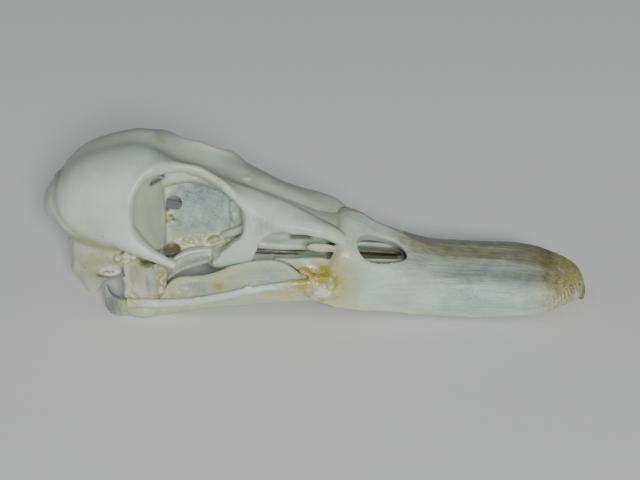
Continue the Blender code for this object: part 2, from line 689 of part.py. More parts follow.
def quadrate(side):
    """The block that hangs the jaw from the skull, with its prong towards the eye."""
    body = upright_form(
        "body",
        [(4.3, -36.9, 10.4, 3.4, 2.2), (5.6, -37.0, 10.4, 3.7, 2.1), (8.6, -37.0, 10.3, 3.5, 1.5),
         (11.6, -37.8, 10.5, 2.9, 1.4), (14.2, -39.2, 10.7, 2.0, 1.4), (16.6, -39.8, 10.6, 1.4, 1.2)],
        side,
    )
    prong = rod(
        "prong",
        [(-35.6, side * 9.8, 9.8, 1.2, 2.6), (-32.8, side * 8.4, 10.8, 0.8, 2.2),
         (-30.4, side * 7.0, 11.6, 0.6, 1.2)],
    )
    cheek = rod(
        "cheek_socket", [(-38.0, side * 10.6, 4.9, 1.4, 1.2), (-39.2, side * 11.8, 4.6, 0.9, 1.0)]
    )
    return fuse("quadrate", [body, prong, cheek], side=side)


def pterygoid(side):
    """The short strut from the quadrate in to the rostrum."""
    strut = rod(
        "strut",
        [(-34.4, side * 8.6, 7.2, 1.1, 1.2), (-29.4, side * 5.6, 8.2, 0.9, 1.2),
         (-24.8, side * 3.0, 9.0, 0.9, 1.3)],
    )
    return fuse("pterygoid", [strut], side=side)


def palatine(side):
    """The long bone of the roof of the mouth, a tall blade behind and a thin bar in front."""
    bar = rod(
        "bar",
        [(-24.2, side * 3.0, 9.8, 0.6, 1.8), (-20.0, side * 3.8, 9.9, 0.6, 2.2),
         (-15.0, side * 4.6, 10.4, 0.8, 1.4), (-8.0, side * 5.6, 10.9, 1.3, 0.6),
         (-1.0, side * 6.2, 10.9, 1.4, 0.55), (5.0, side * 6.4, 10.6, 1.3, 0.5)],
    )
    return fuse("palatine", [bar], side=side)


def vomer():
    """The thin keel between the palatines."""
    keel = rod(
        "keel",
        [(-19.0, 0, 8.7, 0.55, 0.9), (-13.0, 0, 8.9, 0.55, 1.5), (-5.0, 0, 9.9, 0.5, 1.4),
         (2.0, 0, 10.4, 0.5, 0.9)],
    )
    return fuse("vomer", [keel])


def main():
    clear_scene()
    skull = cranium()
    bill = upper_bill()
    jaw = mandible()
    clear_of(bill, skull, jaw)
    paired = []
    for side in SIDES:
        cheek, hinge, strut, palate = (f(side) for f in (jugal_bar, quadrate, pterygoid, palatine))
        clear_of(hinge, skull, jaw)
        clear_of(cheek, bill, hinge, jaw)
        clear_of(strut, skull, hinge, jaw)
        clear_of(palate, skull, strut, bill, jaw)
        paired += [cheek, hinge, strut, palate]
    keel = vomer()
    clear_of(keel, skull, bill, *[b for b in paired if b.name.startswith("palatine")])

    cranial = bone_material("bone_cranium", BONE_COLOUR)
    beak = bone_material("bone_bill", BILL_COLOUR)
    lower = bone_material("bone_jaw", JAW_COLOUR)
    for bone in (skull, *paired, keel):
        bone.data.materials.clear()
        bone.data.materials.append(cranial)
    for bone, material in ((bill, beak), (jaw, lower)):
        bone.data.materials.clear()
        bone.data.materials.append(material)
    for bone in (skull, bill, jaw, keel, *paired):
        bone.data.shade_smooth()
        print(bone.name, len(bone.data.polygons), "faces")


main()
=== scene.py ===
# %% [markdown]
# # A duck's skull in dry bone
# The construction of the skull, with its sizes and the places of its bones, comes from a packed
# model. Here each bone gets its visible skin: closer curves, crests, holes and worn surfaces. All
# lengths below are millimetres in the model's own frame: +X runs to the tip of the bill, +Y to the
# animal's left and +Z up. They become metres only where a mesh is made.

import math

import bmesh
import bpy
import numpy as np
from mathutils import Matrix, Vector, noise


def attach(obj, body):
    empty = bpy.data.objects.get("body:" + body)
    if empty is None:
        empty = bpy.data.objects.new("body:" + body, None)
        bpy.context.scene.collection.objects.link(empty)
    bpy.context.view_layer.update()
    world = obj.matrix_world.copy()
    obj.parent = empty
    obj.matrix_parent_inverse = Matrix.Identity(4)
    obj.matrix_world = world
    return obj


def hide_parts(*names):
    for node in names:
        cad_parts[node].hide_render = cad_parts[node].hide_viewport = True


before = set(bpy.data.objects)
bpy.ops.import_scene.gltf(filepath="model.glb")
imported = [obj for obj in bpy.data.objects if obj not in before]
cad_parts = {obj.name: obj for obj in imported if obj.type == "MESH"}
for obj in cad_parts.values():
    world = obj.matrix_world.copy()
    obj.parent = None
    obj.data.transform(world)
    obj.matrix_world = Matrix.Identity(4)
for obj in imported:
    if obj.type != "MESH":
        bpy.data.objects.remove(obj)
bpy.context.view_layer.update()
print("solids of the model:", ", ".join(sorted(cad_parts)))

# %% [markdown]
# ## The camera
# The skull is seen from its right side and from 30 degrees above. A camera is easiest to place by
# what it looks at, how far away it stands and which way is back. Its lens then follows from how many
# pixels one millimetre takes in a picture 640 pixels wide. The picture is turned by about a degree.

# %% Camera
MM = 0.001
PICTURE_WIDTH = 640
PIXELS_PER_MM = 4.68
AIM = Vector((0.3, 0.0, 12.9)) * MM
DISTANCE = 320 * MM
ELEVATION = math.radians(30)
ROLL = math.radians(1.05)

back = Vector((0, -math.cos(ELEVATION), math.sin(ELEVATION)))
camera = bpy.data.objects.new("camera", bpy.data.cameras.new("camera"))
bpy.context.scene.collection.objects.link(camera)
bpy.context.scene.camera = camera
camera.location = AIM + back * DISTANCE
turned = (-back).to_track_quat("-Z", "Y").to_matrix() @ Matrix.Rotation(ROLL, 3, "Z")
camera.rotation_euler = turned.to_euler()
camera.data.sensor_width = 36
camera.data.lens = PIXELS_PER_MM / MM * DISTANCE * camera.data.sensor_width / PICTURE_WIDTH
camera.data.clip_start = 0.01
print("lens", round(camera.data.lens, 1), "mm")

# %% [markdown]
# ## Curves and sizes between stations
# A bone is written down at a few stations, each with named sizes. Between them a size follows a
# monotone cubic, which never bulges past its two stations. Free curves, such as the edge of a thin
# plate, go through their points on a Catmull-Rom spline.

# %% Curves
RIGHT, LEFT = -1, 1
SIDES = (RIGHT, LEFT)


def smooth_value(rows, key, at):
    """A size between its stations, on a curve that never overshoots them."""
    places = np.array([row[0] for row in rows], float)
    values = np.array([row[1][key] for row in rows], float)
    steps, rises = np.diff(places), np.diff(values)
    slopes = rises / steps
    bends = np.zeros(len(places))
    for i in range(1, len(places) - 1):
        if slopes[i - 1] * slopes[i] > 0:
            weights = (2 * steps[i] + steps[i - 1], steps[i] + 2 * steps[i - 1])
            bends[i] = sum(weights) / (weights[0] / slopes[i - 1] + weights[1] / slopes[i])
    bends[0], bends[-1] = slopes[0], slopes[-1]
    i = int(np.clip(np.searchsorted(places, at) - 1, 0, len(steps) - 1))
    t = (min(max(at, places[0]), places[-1]) - places[i]) / steps[i]
    start, end = (1 + 2 * t) * (1 - t) ** 2, t * t * (3 - 2 * t)
    lead, trail = t * (1 - t) ** 2, t * t * (t - 1)
    return (
        start * values[i] + end * values[i + 1]
        + steps[i] * (lead * bends[i] + trail * bends[i + 1])
    )


def stations(names, rows):
    """The stations of a bone, each one a place along it with its named sizes."""
    return [(place, dict(zip(names.split(), sizes))) for place, *sizes in rows]


def at_station(rows, at):
    """All the named sizes at one place along a bone."""
    return {key: smooth_value(rows, key, at) for key in rows[0][1]}


def along_curve(points, steps=6):
    """Points of a smooth curve through a few given ones, with extra numbers carried along."""
    data = np.array(points, float)
    padded = np.vstack([2 * data[0] - data[1], data, 2 * data[-1] - data[-2]])
    found = []
    for i in range(len(data) - 1):
        a, b, c, d = padded[i : i + 4]
        for t in np.linspace(0, 1, steps, endpoint=False):
            found.append(
                0.5 * (2 * b + (c - a) * t + (2 * a - 5 * b + 4 * c - d) * t**2
                       + (3 * b - a - 3 * c + d) * t**3)
            )
    found.append(data[-1])
    return np.array(found)


def oval(count, half_a, half_b, roundness=2.0):
    """Points of an oval in a plane. A roundness of 2 is an ellipse, and more is squarer."""
    sharpness = 2.0 / roundness
    points = []
    for i in range(count):
        a, b = math.cos(2 * math.pi * i / count), math.sin(2 * math.pi * i / count)
        points.append((
            half_a * math.copysign(abs(a) ** sharpness, a),
            half_b * math.copysign(abs(b) ** sharpness, b),
        ))
    return points

# %% [markdown]
# ## Raw forms
# Each raw form is a closed skin over a row of rings. Rods, plates, stacked ovals and hollows are all
# rings in another direction, so one loft makes them all. Solid modelling then joins them: what a bone
# adds is a union and what is open in it is a difference.

# %% Raw forms
def mesh_object(name, bm):
    """An object of the finished bmesh, with its faces pointing out."""
    bmesh.ops.recalc_face_normals(bm, faces=bm.faces)
    mesh = bpy.data.meshes.new(name)
    bm.to_mesh(mesh)
    bm.free()
    obj = bpy.data.objects.new(name, mesh)
    bpy.context.scene.collection.objects.link(obj)
    return obj


def loft(name, rings):
    """A closed skin over rings of points, capped at both ends."""
    bm = bmesh.new()
    loops = [[bm.verts.new(Vector(point) * MM) for point in ring] for ring in rings]
    count = len(rings[0])
    for near, far in zip(loops, loops[1:]):
        for i in range(count):
            j = (i + 1) % count
            bm.faces.new((near[i], near[j], far[j], far[i]))
    bm.faces.new(loops[0])
    bm.faces.new(loops[-1])
    return mesh_object(name, bm)


def ellipsoid(name, centre, radii, turn=0.0):
    """An ellipsoid, turned about Y by some degrees."""
    bm = bmesh.new()
    bmesh.ops.create_uvsphere(bm, u_segments=32, v_segments=20, radius=1.0)
    place = (
        Matrix.Translation(Vector(centre) * MM)
        @ Matrix.Rotation(math.radians(turn), 4, "Y")
        @ Matrix.Diagonal((*(r * MM for r in radii), 1.0))
    )
    bmesh.ops.transform(bm, matrix=place, verts=bm.verts)
    return mesh_object(name, bm)


ROD_STEPS = 8
ROD_SIDES = 20


def rod(name, places, side=LEFT):
    """A rod through places of (x, distance from the middle, z, half width, half height)."""
    path = along_curve([(x, side * y, *sizes) for x, y, *sizes in places], ROD_STEPS)
    rings = []
    for i, (x, y, z, across, upright) in enumerate(path):
        before, after = path[max(i - 1, 0)][:3], path[min(i + 1, len(path) - 1)][:3]
        ahead = Vector(after - before).normalized()
        out = ahead.cross(Vector((0, 0, 1)))
        out = out.normalized() if out.length > 0.2 else Vector((0, -1, 0))
        rise = out.cross(ahead).normalized()
        middle = Vector((x, y, z))
        rings.append([middle + out * a + rise * b for a, b in oval(ROD_SIDES, across, upright)])
    return loft(name, rings)


def plate(name, outline, side, inner, outer):
    """A plate of a smooth outline of (x, z, lean), between two distances from the middle plane."""
    points = along_curve([*outline, outline[0]])[:-1]
    return loft(name, [
        [(x, side * (reach - lean), z) for x, z, lean in points] for reach in (inner, outer)
    ])


def upright_form(name, places, side, roundness=2.0):
    """A form stacked up in Z from ovals of (z, x, y, half length, half width)."""
    return loft(name, [
        [(x + a, side * (y + b), z) for a, b in oval(24, long, wide, roundness)]
        for z, x, y, long, wide in along_curve(places)
    ])


def lumps(name, side, *rows):
    """Ellipsoids on one side, each of (x, y, z, half length, half width, half height, turn)."""
    return [
        ellipsoid(name, (x, side * y, z), radii, turn) for x, y, z, *radii, turn in rows
    ]


def hollow(name, rows, roundness, count):
    """A tube along X through ovals of half width, top and bottom."""
    rings = []
    for x in np.linspace(rows[0][0], rows[-1][0], count):
        at = at_station(rows, x)
        middle, reach = (at["top"] + at["bottom"]) / 2, (at["top"] - at["bottom"]) / 2
        rings.append([(x, y, middle + z) for y, z in oval(40, at["half"], reach, roundness)])
    return loft(name, rings)


def round_hole(name, x, z, half_x, half_z, reach):
    """A straight oval hole across the skull, as far out as its reach on both sides."""
    ring = [(x + a, z + b) for a, b in oval(32, half_x, half_z, 2.2)]
    return loft(name, [[(a, y, b) for a, b in ring] for y in (-reach, reach)])

# %% [markdown]
# ## From raw forms to one bone
# Bone grows as one skin, so the seams between the raw forms have to go. A voxel remesh lays an even
# grid over the joined forms, and a few rounds of smoothing melt their edges into each other, as real
# edges of bone are rounded. The even grid also has points enough for fine forms to be pressed in.

# %% Joining and cutting
def apply_modifiers(obj):
    """Replaces the object's mesh by the one that its modifiers make."""
    bpy.context.view_layer.update()
    graph = bpy.context.evaluated_depsgraph_get()
    made = bpy.data.meshes.new_from_object(obj.evaluated_get(graph))
    obj.modifiers.clear()
    obj.data = made


def boolean(obj, others, operation):
    """Joins the other objects to this one, or cuts them out, and removes them."""
    group = bpy.data.collections.new("group")
    for other in others:
        group.objects.link(other)
    modifier = obj.modifiers.new(operation.title(), "BOOLEAN")
    modifier.operation = operation
    modifier.operand_type = "COLLECTION"
    modifier.collection = group
    apply_modifiers(obj)
    for other in others:
        bpy.data.objects.remove(other)
    bpy.data.collections.remove(group)


def keep_largest(obj):
    """Drops every loose scrap but the largest surface."""
    bm = bmesh.new()
    bm.from_mesh(obj.data)
    left, islands = set(bm.verts), []
    while left:
        island, edge = set(), [left.pop()]
        while edge:
            vert = edge.pop()
            island.add(vert)
            near = {e.other_vert(vert) for e in vert.link_edges} & left
            left -= near
            edge.extend(near)
        islands.append(island)
    islands.sort(key=len)
    bmesh.ops.delete(bm, geom=[v for s in islands[:-1] for v in s], context="VERTS")
    bm.to_mesh(obj.data)
    bm.free()


def grow(name, forms, cutters, voxel, rounding):
    """One bone of its forms and openings, as an even smooth skin."""
    bone, *others = forms
    bone.name = name
    if others:
        boolean(bone, others, "UNION")
    if cutters:
        boolean(bone, cutters, "DIFFERENCE")
    remesh = bone.modifiers.new("Skin", "REMESH")
    remesh.mode = "VOXEL"
    remesh.voxel_size = voxel * MM
    soften = bone.modifiers.new("Soften", "SMOOTH")
    soften.factor = 0.5
    soften.iterations = rounding
    apply_modifiers(bone)
    keep_largest(bone)
    bone.data.shade_smooth()
    return bone

# %% [markdown]
# ## Pressing fine forms into the skin
# A crest, groove or pit is a small push along the surface's own normal, strongest at a spot or along
# a path and fading with distance like a bell curve. The same bell curves say where a surface is
# stained, thin or porous: they are stored with the points as named values, which the materials read.
# Places are written for the right side, and a point on the left side counts as its mirror image.

# %% Sculpting tools
def read_skin(bone):
    """The bone's points and normals, as arrays in millimetres."""
    count = len(bone.data.vertices)
    points, normals = np.empty(count * 3), np.empty(count * 3)
    bone.data.vertices.foreach_get("co", points)
    bone.data.vertex_normals.foreach_get("vector", normals)
    return points.reshape(-1, 3) / MM, normals.reshape(-1, 3)


def write_skin(bone, points):
    """Moves the bone's points to new places."""
    bone.data.vertices.foreach_set("co", (points * MM).ravel())
    bone.data.update()


def folded(points):
    """The points with those of the left side mirrored to the right."""
    return points * (1, 0, 1) - np.abs(points) * (0, 1, 0)


def survey(bone):
    """The bone's points and normals, the points folded to the right, and their x, y and z."""
    points, normals = read_skin(bone)
    right = folded(points)
    return points, normals, right, *right.T


def spot(points, centre, radii):
    """A bell curve round a place, 1 at its centre."""
    away = (points - np.array(centre)) / np.array(radii)
    return np.exp(-(away**2).sum(1))


def spots(points, places, radius):
    """Several round spots of one size, none of them stronger than 1."""
    return np.max([spot(points, place, (radius,) * 3) for place in places], axis=0)


def patches(points, places):
    """The sum of named bell curves, each with its strength, its centre and its radii."""
    return sum(strength * spot(points, *where) for strength, *where in places.values())


def stroke(points, path, width):
    """A bell curve round a path of straight runs, 1 on the path."""
    path = np.array(path, float)
    nearest = np.full(len(points), np.inf)
    for a, b in zip(path, path[1:]):
        run = b - a
        share = np.clip((points - a) @ run / (run @ run), 0, 1)[:, None]
        nearest = np.minimum(nearest, ((points - a - share * run) ** 2).sum(1))
    return np.exp(-nearest / width**2)


def on_skin(points, path):
    """A smooth path through a few places, with each of its points moved to the nearest skin."""
    return np.array([points[((points - p) ** 2).sum(1).argmin()] for p in along_curve(path)])


def ramp(values, low, high):
    """0 at low, 1 at high, and a smooth rise or fall between them."""
    t = np.clip((values - low) / (high - low), 0, 1)
    return t * t * (3 - 2 * t)


def within(values, a, b, c, d):
    """0 below a, 1 from b to c, 0 above d, and smooth slopes between them."""
    return ramp(values, a, b) * ramp(values, d, c)


def clouds(points, size, seed=0, octaves=3):
    """Soft noise between -1 and 1, with lumps of about the given size."""
    moved = points / size + np.array((seed * 7.3, seed * 3.1, seed * 5.7))
    return np.array([noise.fractal(p, 1.0, 2.0, octaves) for p in moved.tolist()])


def evened(bone, points, weight, rounds):
    """The points after some rounds of moving each one halfway to its neighbours' middle."""
    edges = np.empty(len(bone.data.edges) * 2, dtype=np.int32)
    bone.data.edges.foreach_get("vertices", edges)
    a, b = edges.reshape(-1, 2).T
    count = np.bincount(np.concatenate([a, b]), minlength=len(points))
    middle = np.zeros_like(points)
    for _ in range(rounds):
        for axis in range(3):
            middle[:, axis] = np.bincount(a, points[b, axis], len(points))
            middle[:, axis] += np.bincount(b, points[a, axis], len(points))
        points = points + 0.5 * weight[:, None] * (middle / count[:, None] - points)
    return points


def hollowness(bone, points, normals):
    """How deep each point lies in a hollow, in millimetres; negative on a crest."""
    smooth = evened(bone, points, np.ones(len(points)), 20)
    return ((smooth - points) * normals).sum(1)


def note(bone, **values):
    """Stores named values between 0 and 1 with the bone's points."""
    everywhere = np.ones(len(bone.data.vertices), np.float32)
    for name, value in values.items():
        layer = bone.data.attributes.new(name, "FLOAT", "POINT")
        layer.data.foreach_set("value", everywhere * np.clip(value, 0, 1).astype(np.float32))

# %% [markdown]
# ## Dry bone
# Cleaned bone is a satin, slightly see-through ivory. Thick spongy places hold old fat and turn
# yellow, thin plates look blue-grey because light passes through them, and dirt stays in pits. One
# material does all of it: the named values of the points pick the stain, and two of them also carry
# painted shade and painted highlight. Procedural noise breaks each stain up, and bumps give grain,
# furrows and pores. Bones differ in their ivory and in their furrows.

# %% Shader helpers
def add(tree, kind, sockets=None, **settings):
    """A shader node with its settings, and its sockets set or linked."""
    made = tree.nodes.new(kind)
    for key, value in settings.items():
        setattr(made, key, value)
    for key, value in (sockets or {}).items():
        if isinstance(value, bpy.types.NodeSocket):
            tree.links.new(value, made.inputs[key])
        else:
            made.inputs[key].default_value = value
    return made


def mixed(tree, amount, under, over):
    """One colour laid over another by an amount."""
    return add(tree, "ShaderNodeMix", {0: amount, 6: under, 7: over}, data_type="RGBA").outputs[2]


def sums(tree, operation, first, second, clamp=True):
    """One step of arithmetic on two values."""
    node = add(tree, "ShaderNodeMath", {0: first, 1: second}, operation=operation, use_clamp=clamp)
    return node.outputs[0]


def times(tree, first, second):
    """The product of two values, at most 1."""
    return sums(tree, "MULTIPLY", first, second)


def stretched(tree, value, low, high, to_low=0.0, to_high=1.0):
    """A value spread out from one range to another."""
    return add(tree, "ShaderNodeMapRange", {
        "Value": value, "From Min": low, "From Max": high, "To Min": to_low, "To Max": to_high,
    }).outputs[0]

# %% Bone textures
# The dark-brown value carries dirt and painted shade, and the chalky value carries chalk and painted
# highlight.
STAIN_NAMES = ("thin", "fat", "amber", "chalk", "soil", "lined", "porous")
NOISES = {
    "cloud": {"Scale": 120, "Detail": 4},
    "mottle": {"Scale": 620, "Detail": 7, "Roughness": 0.62, "Distortion": 0.5},
    "net": {"Scale": 420, "Detail": 5, "Roughness": 0.55, "Distortion": 1.2},
    "grain": {"Scale": 3600, "Detail": 4},
}
FURROW_NOISE = {"Scale": 1000, "Detail": 5, "Roughness": 0.6}
PORES_PER_METRE = 1500


def bone_values(tree, furrows):
    """All that a bone's look depends on: its stored stains, the noises, furrows and pits."""
    place = add(tree, "ShaderNodeTexCoord").outputs["Object"]
    seen = {
        key: add(tree, "ShaderNodeAttribute", attribute_name=key).outputs["Fac"]
        for key in STAIN_NAMES
    }
    for key, sockets in NOISES.items():
        seen[key] = add(tree, "ShaderNodeTexNoise", {"Vector": place, **sockets}).outputs[0]
    shaped = add(tree, "ShaderNodeMapping", {"Vector": place, "Scale": furrows}).outputs[0]
    seen["furrow"] = add(tree, "ShaderNodeTexNoise", {"Vector": shaped, **FURROW_NOISE}).outputs[0]
    pore = add(tree, "ShaderNodeTexVoronoi", {"Vector": place, "Scale": PORES_PER_METRE})
    open_pore = stretched(tree, pore.outputs["Distance"], 0.34, 0.16)
    seen["pit"] = times(tree, open_pore, seen["porous"])
    return seen

# %% [markdown]
# The stains are laid over the ivory one by one, in the order they came to the real bone: first the
# thin places that let the dark through, with pale veins, then fat, old amber fat, chalky crust, and
# dirt last. The painted highlight goes on with the chalk, and the painted shade with the dirt.
# None of them is even: the noises decide how much of each stain shows at a point.

# %% Bone colour
BLUE_GREY = (0.24, 0.30, 0.32, 1)
FAT_YELLOW = (0.52, 0.52, 0.25, 1)
AMBER = (0.40, 0.34, 0.04, 1)
# Pale chalk, also laid on as painted highlight.
CHALK_AND_HIGHLIGHT = (0.74, 0.79, 0.69, 1)
# Dark brown of dirt in pores, also laid on as painted shade in gaps, slits and hollows.
DIRT_AND_SHADE_BROWN = (0.065, 0.052, 0.025, 1)
WARM_IVORY = (0.60, 0.59, 0.44, 1)


def bone_colour(tree, seen, light, dark):
    """The ivory between its two tones, with each stain and the painted shade and highlight laid over
    it in turn.
    """
    speckle = stretched(tree, seen["mottle"], 0.34, 0.66, 0.55, 1.2)
    patchy = stretched(tree, seen["mottle"], 0.3, 0.62, 0.7, 1.15)
    streak = times(tree, stretched(tree, seen["furrow"], 0.45, 0.7), seen["lined"])
    off_vein = sums(tree, "ABSOLUTE", sums(tree, "SUBTRACT", seen["net"], 0.5, clamp=False), 0.0)
    layers = (
        (stretched(tree, seen["net"], 0.5, 0.8, 0.0, 0.5), WARM_IVORY),
        (stretched(tree, seen["mottle"], 0.42, 0.72, 0.0, 0.30), dark),
        (times(tree, seen["thin"], speckle), BLUE_GREY),
        (times(tree, stretched(tree, off_vein, 0.022, 0.0, 0.0, 0.55), seen["thin"]), light),
        (times(tree, seen["fat"], patchy), FAT_YELLOW),
        (times(tree, streak, 0.55), BLUE_GREY),
        (times(tree, seen["amber"], patchy), AMBER),
        # Chalky crust, and painted highlight.
        (seen["chalk"], CHALK_AND_HIGHLIGHT),
        (times(tree, seen["pit"], 0.5), DIRT_AND_SHADE_BROWN),
        # Dirt, and painted shade.
        (seen["soil"], DIRT_AND_SHADE_BROWN),
    )
    colour = mixed(tree, stretched(tree, seen["cloud"], 0.34, 0.64), dark, light)
    for amount, tint in layers:
        colour = mixed(tree, amount, colour, tint)
    return colour

# %% [markdown]
# The surface is satin. Porous places are duller and greasy amber ones shine. Four bumps lie on each
# other, from the finest to the deepest: grain, mottling, furrows and pits. A little light passes
# through the bone, which softens its shadows.

# %% Bone surface
TRANSLUCENCY = {
    "Subsurface Weight": 0.12,
    "Subsurface Radius": (1.0, 0.85, 0.6),
    "Subsurface Scale": 0.8 * MM,
    "Specular IOR Level": 0.45,
}


def bone_roughness(tree, seen):
    """Satin, duller where the bone is porous and glossier where old fat came out."""
    rough = stretched(tree, seen["mottle"], 0.3, 0.7, 0.30, 0.47)
    rough = sums(tree, "ADD", rough, times(tree, seen["porous"], 0.16))
    return sums(tree, "SUBTRACT", rough, times(tree, seen["amber"], 0.22))


def bone_bumps(tree, seen, furrow_depth):
    """The small relief, one bump on another, each of (height, strength, millimetres, inwards)."""
    bumps = (
        (seen["grain"], 0.2, 0.05, False),
        (seen["mottle"], 0.45, 0.14, False),
        (times(tree, seen["furrow"], seen["lined"]), furrow_depth, 0.3, False),
        (seen["pit"], 0.9, 0.25, True),
    )
    below = {}
    for height, strength, depth, inwards in bumps:
        sockets = {"Height": height, "Strength": strength, "Distance": depth * MM, **below}
        below = {"Normal": add(tree, "ShaderNodeBump", sockets, invert=inwards).outputs[0]}
    return below["Normal"]


def dry_bone(name, light, dark, furrows, furrow_depth):
    """Ivory between two tones, with stains, pores and furrows stretched along an axis."""
    material = bpy.data.materials.new(name)
    material.use_nodes = True
    tree = material.node_tree
    shader = tree.nodes["Principled BSDF"]
    seen = bone_values(tree, furrows)
    tree.links.new(bone_colour(tree, seen, light, dark), shader.inputs["Base Color"])
    tree.links.new(bone_roughness(tree, seen), shader.inputs["Roughness"])
    tree.links.new(bone_bumps(tree, seen, furrow_depth), shader.inputs["Normal"])
    for socket, value in TRANSLUCENCY.items():
        shader.inputs[socket].default_value = value
    return material

# %% The six bones' looks
# The light and the dark ivory, how far the furrows are stretched along x, y and z, and their depth.
BONE_LOOKS = {
    "cranium_bone": ((0.585, 0.69, 0.61, 1), (0.52, 0.60, 0.50, 1), (2.2, 1.0, 0.25), 0.8),
    "bill_bone": ((0.54, 0.645, 0.58, 1), (0.46, 0.53, 0.44, 1), (0.12, 1.4, 1.4), 0.9),
    "jaw_bone": ((0.51, 0.60, 0.50, 1), (0.42, 0.48, 0.38, 1), (0.15, 1.0, 1.0), 0.7),
    "cheek_bone": ((0.60, 0.70, 0.61, 1), (0.52, 0.59, 0.49, 1), (0.15, 1.0, 1.0), 0.5),
    "joint_bone": ((0.51, 0.60, 0.51, 1), (0.43, 0.49, 0.39, 1), (1.0, 1.0, 0.2), 0.5),
    "palate_bone": ((0.52, 0.61, 0.53, 1), (0.43, 0.49, 0.39, 1), (0.2, 1.0, 1.0), 0.5),
}
MATERIALS = {slot: dry_bone(slot, *look) for slot, look in BONE_LOOKS.items()}
print("materials:", ", ".join(MATERIALS))


def finish_bone(bone, slot, *nodes):
    """Gives a bone its material and its place in the model."""
    bone.data.materials.clear()
    bone.data.materials.append(MATERIALS[slot])
    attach(bone, "root")
    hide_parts(*nodes)
    print(bone.name, sum(len(p.vertices) - 2 for p in bone.data.polygons), "triangles")

# %% [markdown]
# ## Cranium: the raw forms
# A grown bird's cranium is one bone. The dome of the brain is a row of ovals that swell and shrink,
# with a shallow groove on the middle line. The forehead is a plate whose section has a valley, a
# crest, a shoulder and an edge, and it is narrowest between the eyes. The two eye sockets are cut out
# of the dome, and a thin wall stands between them.

# %% Cranium stations
OCCIPUT_X = -57.6
CROWN_Z = 36.9
BRAIN_HALF_WIDTH = 13.4
WAIST_HALF_WIDTH = 5.8
HINGE_X = 4.4
ROOF_THICKNESS = 1.7
SEPTUM_THICKNESS = 1.1
OPTIC_HOLE = {"x": -30.6, "z": 21.4, "radius": 1.65}
GROOVE_HALF_WIDTH = 3.8

BRAINCASE = stations("half top bottom wide groove", [
    (OCCIPUT_X, 3.0, 23.4, 20.2, 21.8, 0.0),
    (-56.6, 5.6, 25.2, 19.0, 22.0, 0.1),
    (-54.7, 7.6, 27.8, 17.7, 22.3, 0.4),
    (-52.4, 10.0, 30.6, 15.3, 22.7, 0.6),
    (-50.0, 11.4, 32.8, 13.7, 23.0, 0.7),
    (-46.0, 12.7, 34.9, 12.0, 23.4, 0.8),
    (-42.0, 13.3, 36.1, 11.2, 23.8, 1.0),
    (-38.0, BRAIN_HALF_WIDTH, CROWN_Z, 11.0, 24.0, 1.2),
    (-35.0, 12.8, 36.9, 11.0, 24.2, 1.6),
    (-32.5, 9.6, 35.8, 11.2, 24.6, 1.7),
])

# %% Forehead stations
ROOF = stations("valley crest_y crest shoulder_y shoulder edge_y edge", [
    (-38.0, 34.4, 4.6, 34.8, 8.0, 33.4, 10.0, 31.0),
    (-33.6, 34.2, 4.8, 35.2, 8.0, 34.2, 9.3, 33.2),
    (-29.0, 31.9, 4.6, 33.5, 5.9, 33.7, 6.4, 32.9),
    (-25.0, 30.6, 4.2, 32.2, 5.4, 32.7, WAIST_HALF_WIDTH, 32.0),
    (-21.3, 29.0, 4.4, 30.2, 6.2, 30.9, 6.7, 30.2),
    (-17.6, 27.1, 4.2, 28.4, 7.9, 29.0, 8.8, 28.0),
    (-15.6, 26.1, 3.8, 27.6, 7.8, 27.3, 9.0, 25.8),
    (-12.5, 24.6, 3.0, 26.3, 7.2, 25.9, 9.4, 23.4),
    (-8.3, 22.8, 3.0, 24.5, 7.0, 23.6, 9.2, 20.7),
    (-4.0, 20.6, 3.2, 22.5, 7.0, 22.0, 8.9, 20.3),
    (0.2, 18.4, 3.6, 20.3, 6.8, 20.8, 8.6, 19.6),
    (3.2, 16.8, 4.0, 18.9, 6.6, 19.8, 8.2, 18.1),
    (HINGE_X + 1.4, 15.6, 4.2, 17.2, 6.4, 17.8, 8.0, 16.4),
])

# %% Eye socket, back of the head and blade
ORBIT_FRONT_X = -16.6
ORBIT = stations("back low high", [
    (0.55, -29.8, 13.0, 29.8),
    (1.2, -31.4, 12.4, 30.8),
    (2.4, -32.7, 11.7, 31.8),
    (4.4, -33.7, 11.4, 32.6),
    (9.0, -35.9, 11.8, 37.0),
    (12.5, -38.2, 14.0, 37.8),
    (16.0, -39.4, 14.0, 38.6),
])

OCCIPUT = stations("half top bottom", [
    (-51.7, 5.6, 17.4, 12.0),
    (-50.9, 8.6, 20.0, 9.6),
    (-45.0, 10.7, 21.0, 7.8),
    (-39.5, 9.4, 20.0, 8.4),
    (-34.5, 4.4, 18.0, 9.6),
])

LACRIMAL = [
    (-17.0, 27.2, 0.6), (-15.6, 24.6, 0.1), (-15.3, 21.4, 0.0), (-17.0, 18.2, 0.2),
    (-19.8, 15.2, 0.4), (-20.9, 12.9, 0.6), (-22.2, 11.6, 0.8), (-21.0, 10.7, 0.9),
    (-17.8, 11.3, 0.8), (-14.2, 12.2, 0.6), (-12.9, 14.8, 0.3), (-12.2, 17.2, 0.1),
    (-9.6, 19.2, 0.0), (-6.4, 20.2, 0.0), (-11.0, 22.6, 0.2), (-14.8, 25.6, 0.4),
]

EAR = {"x": -43.3, "z": 10.3}
SLIT = [(-34.3, -7.2, 29.8), (-33.3, -5.8, 29.7), (-32.2, -4.2, 29.8)]
TEAR_NOTCH = [(-15.9, -8.6, 19.8), (-16.6, -8.6, 18.3), (-18.0, -8.6, 17.2), (-20.0, -8.6, 15.2)]

# %% [markdown]
# The dome is lofted from back to front, and the two sockets are cut out of it before the rest joins,
# so that the thin wall between the eyes stays whole. The wall has a beam below, a brow above, a post
# in front, and low spongy crests where they meet.

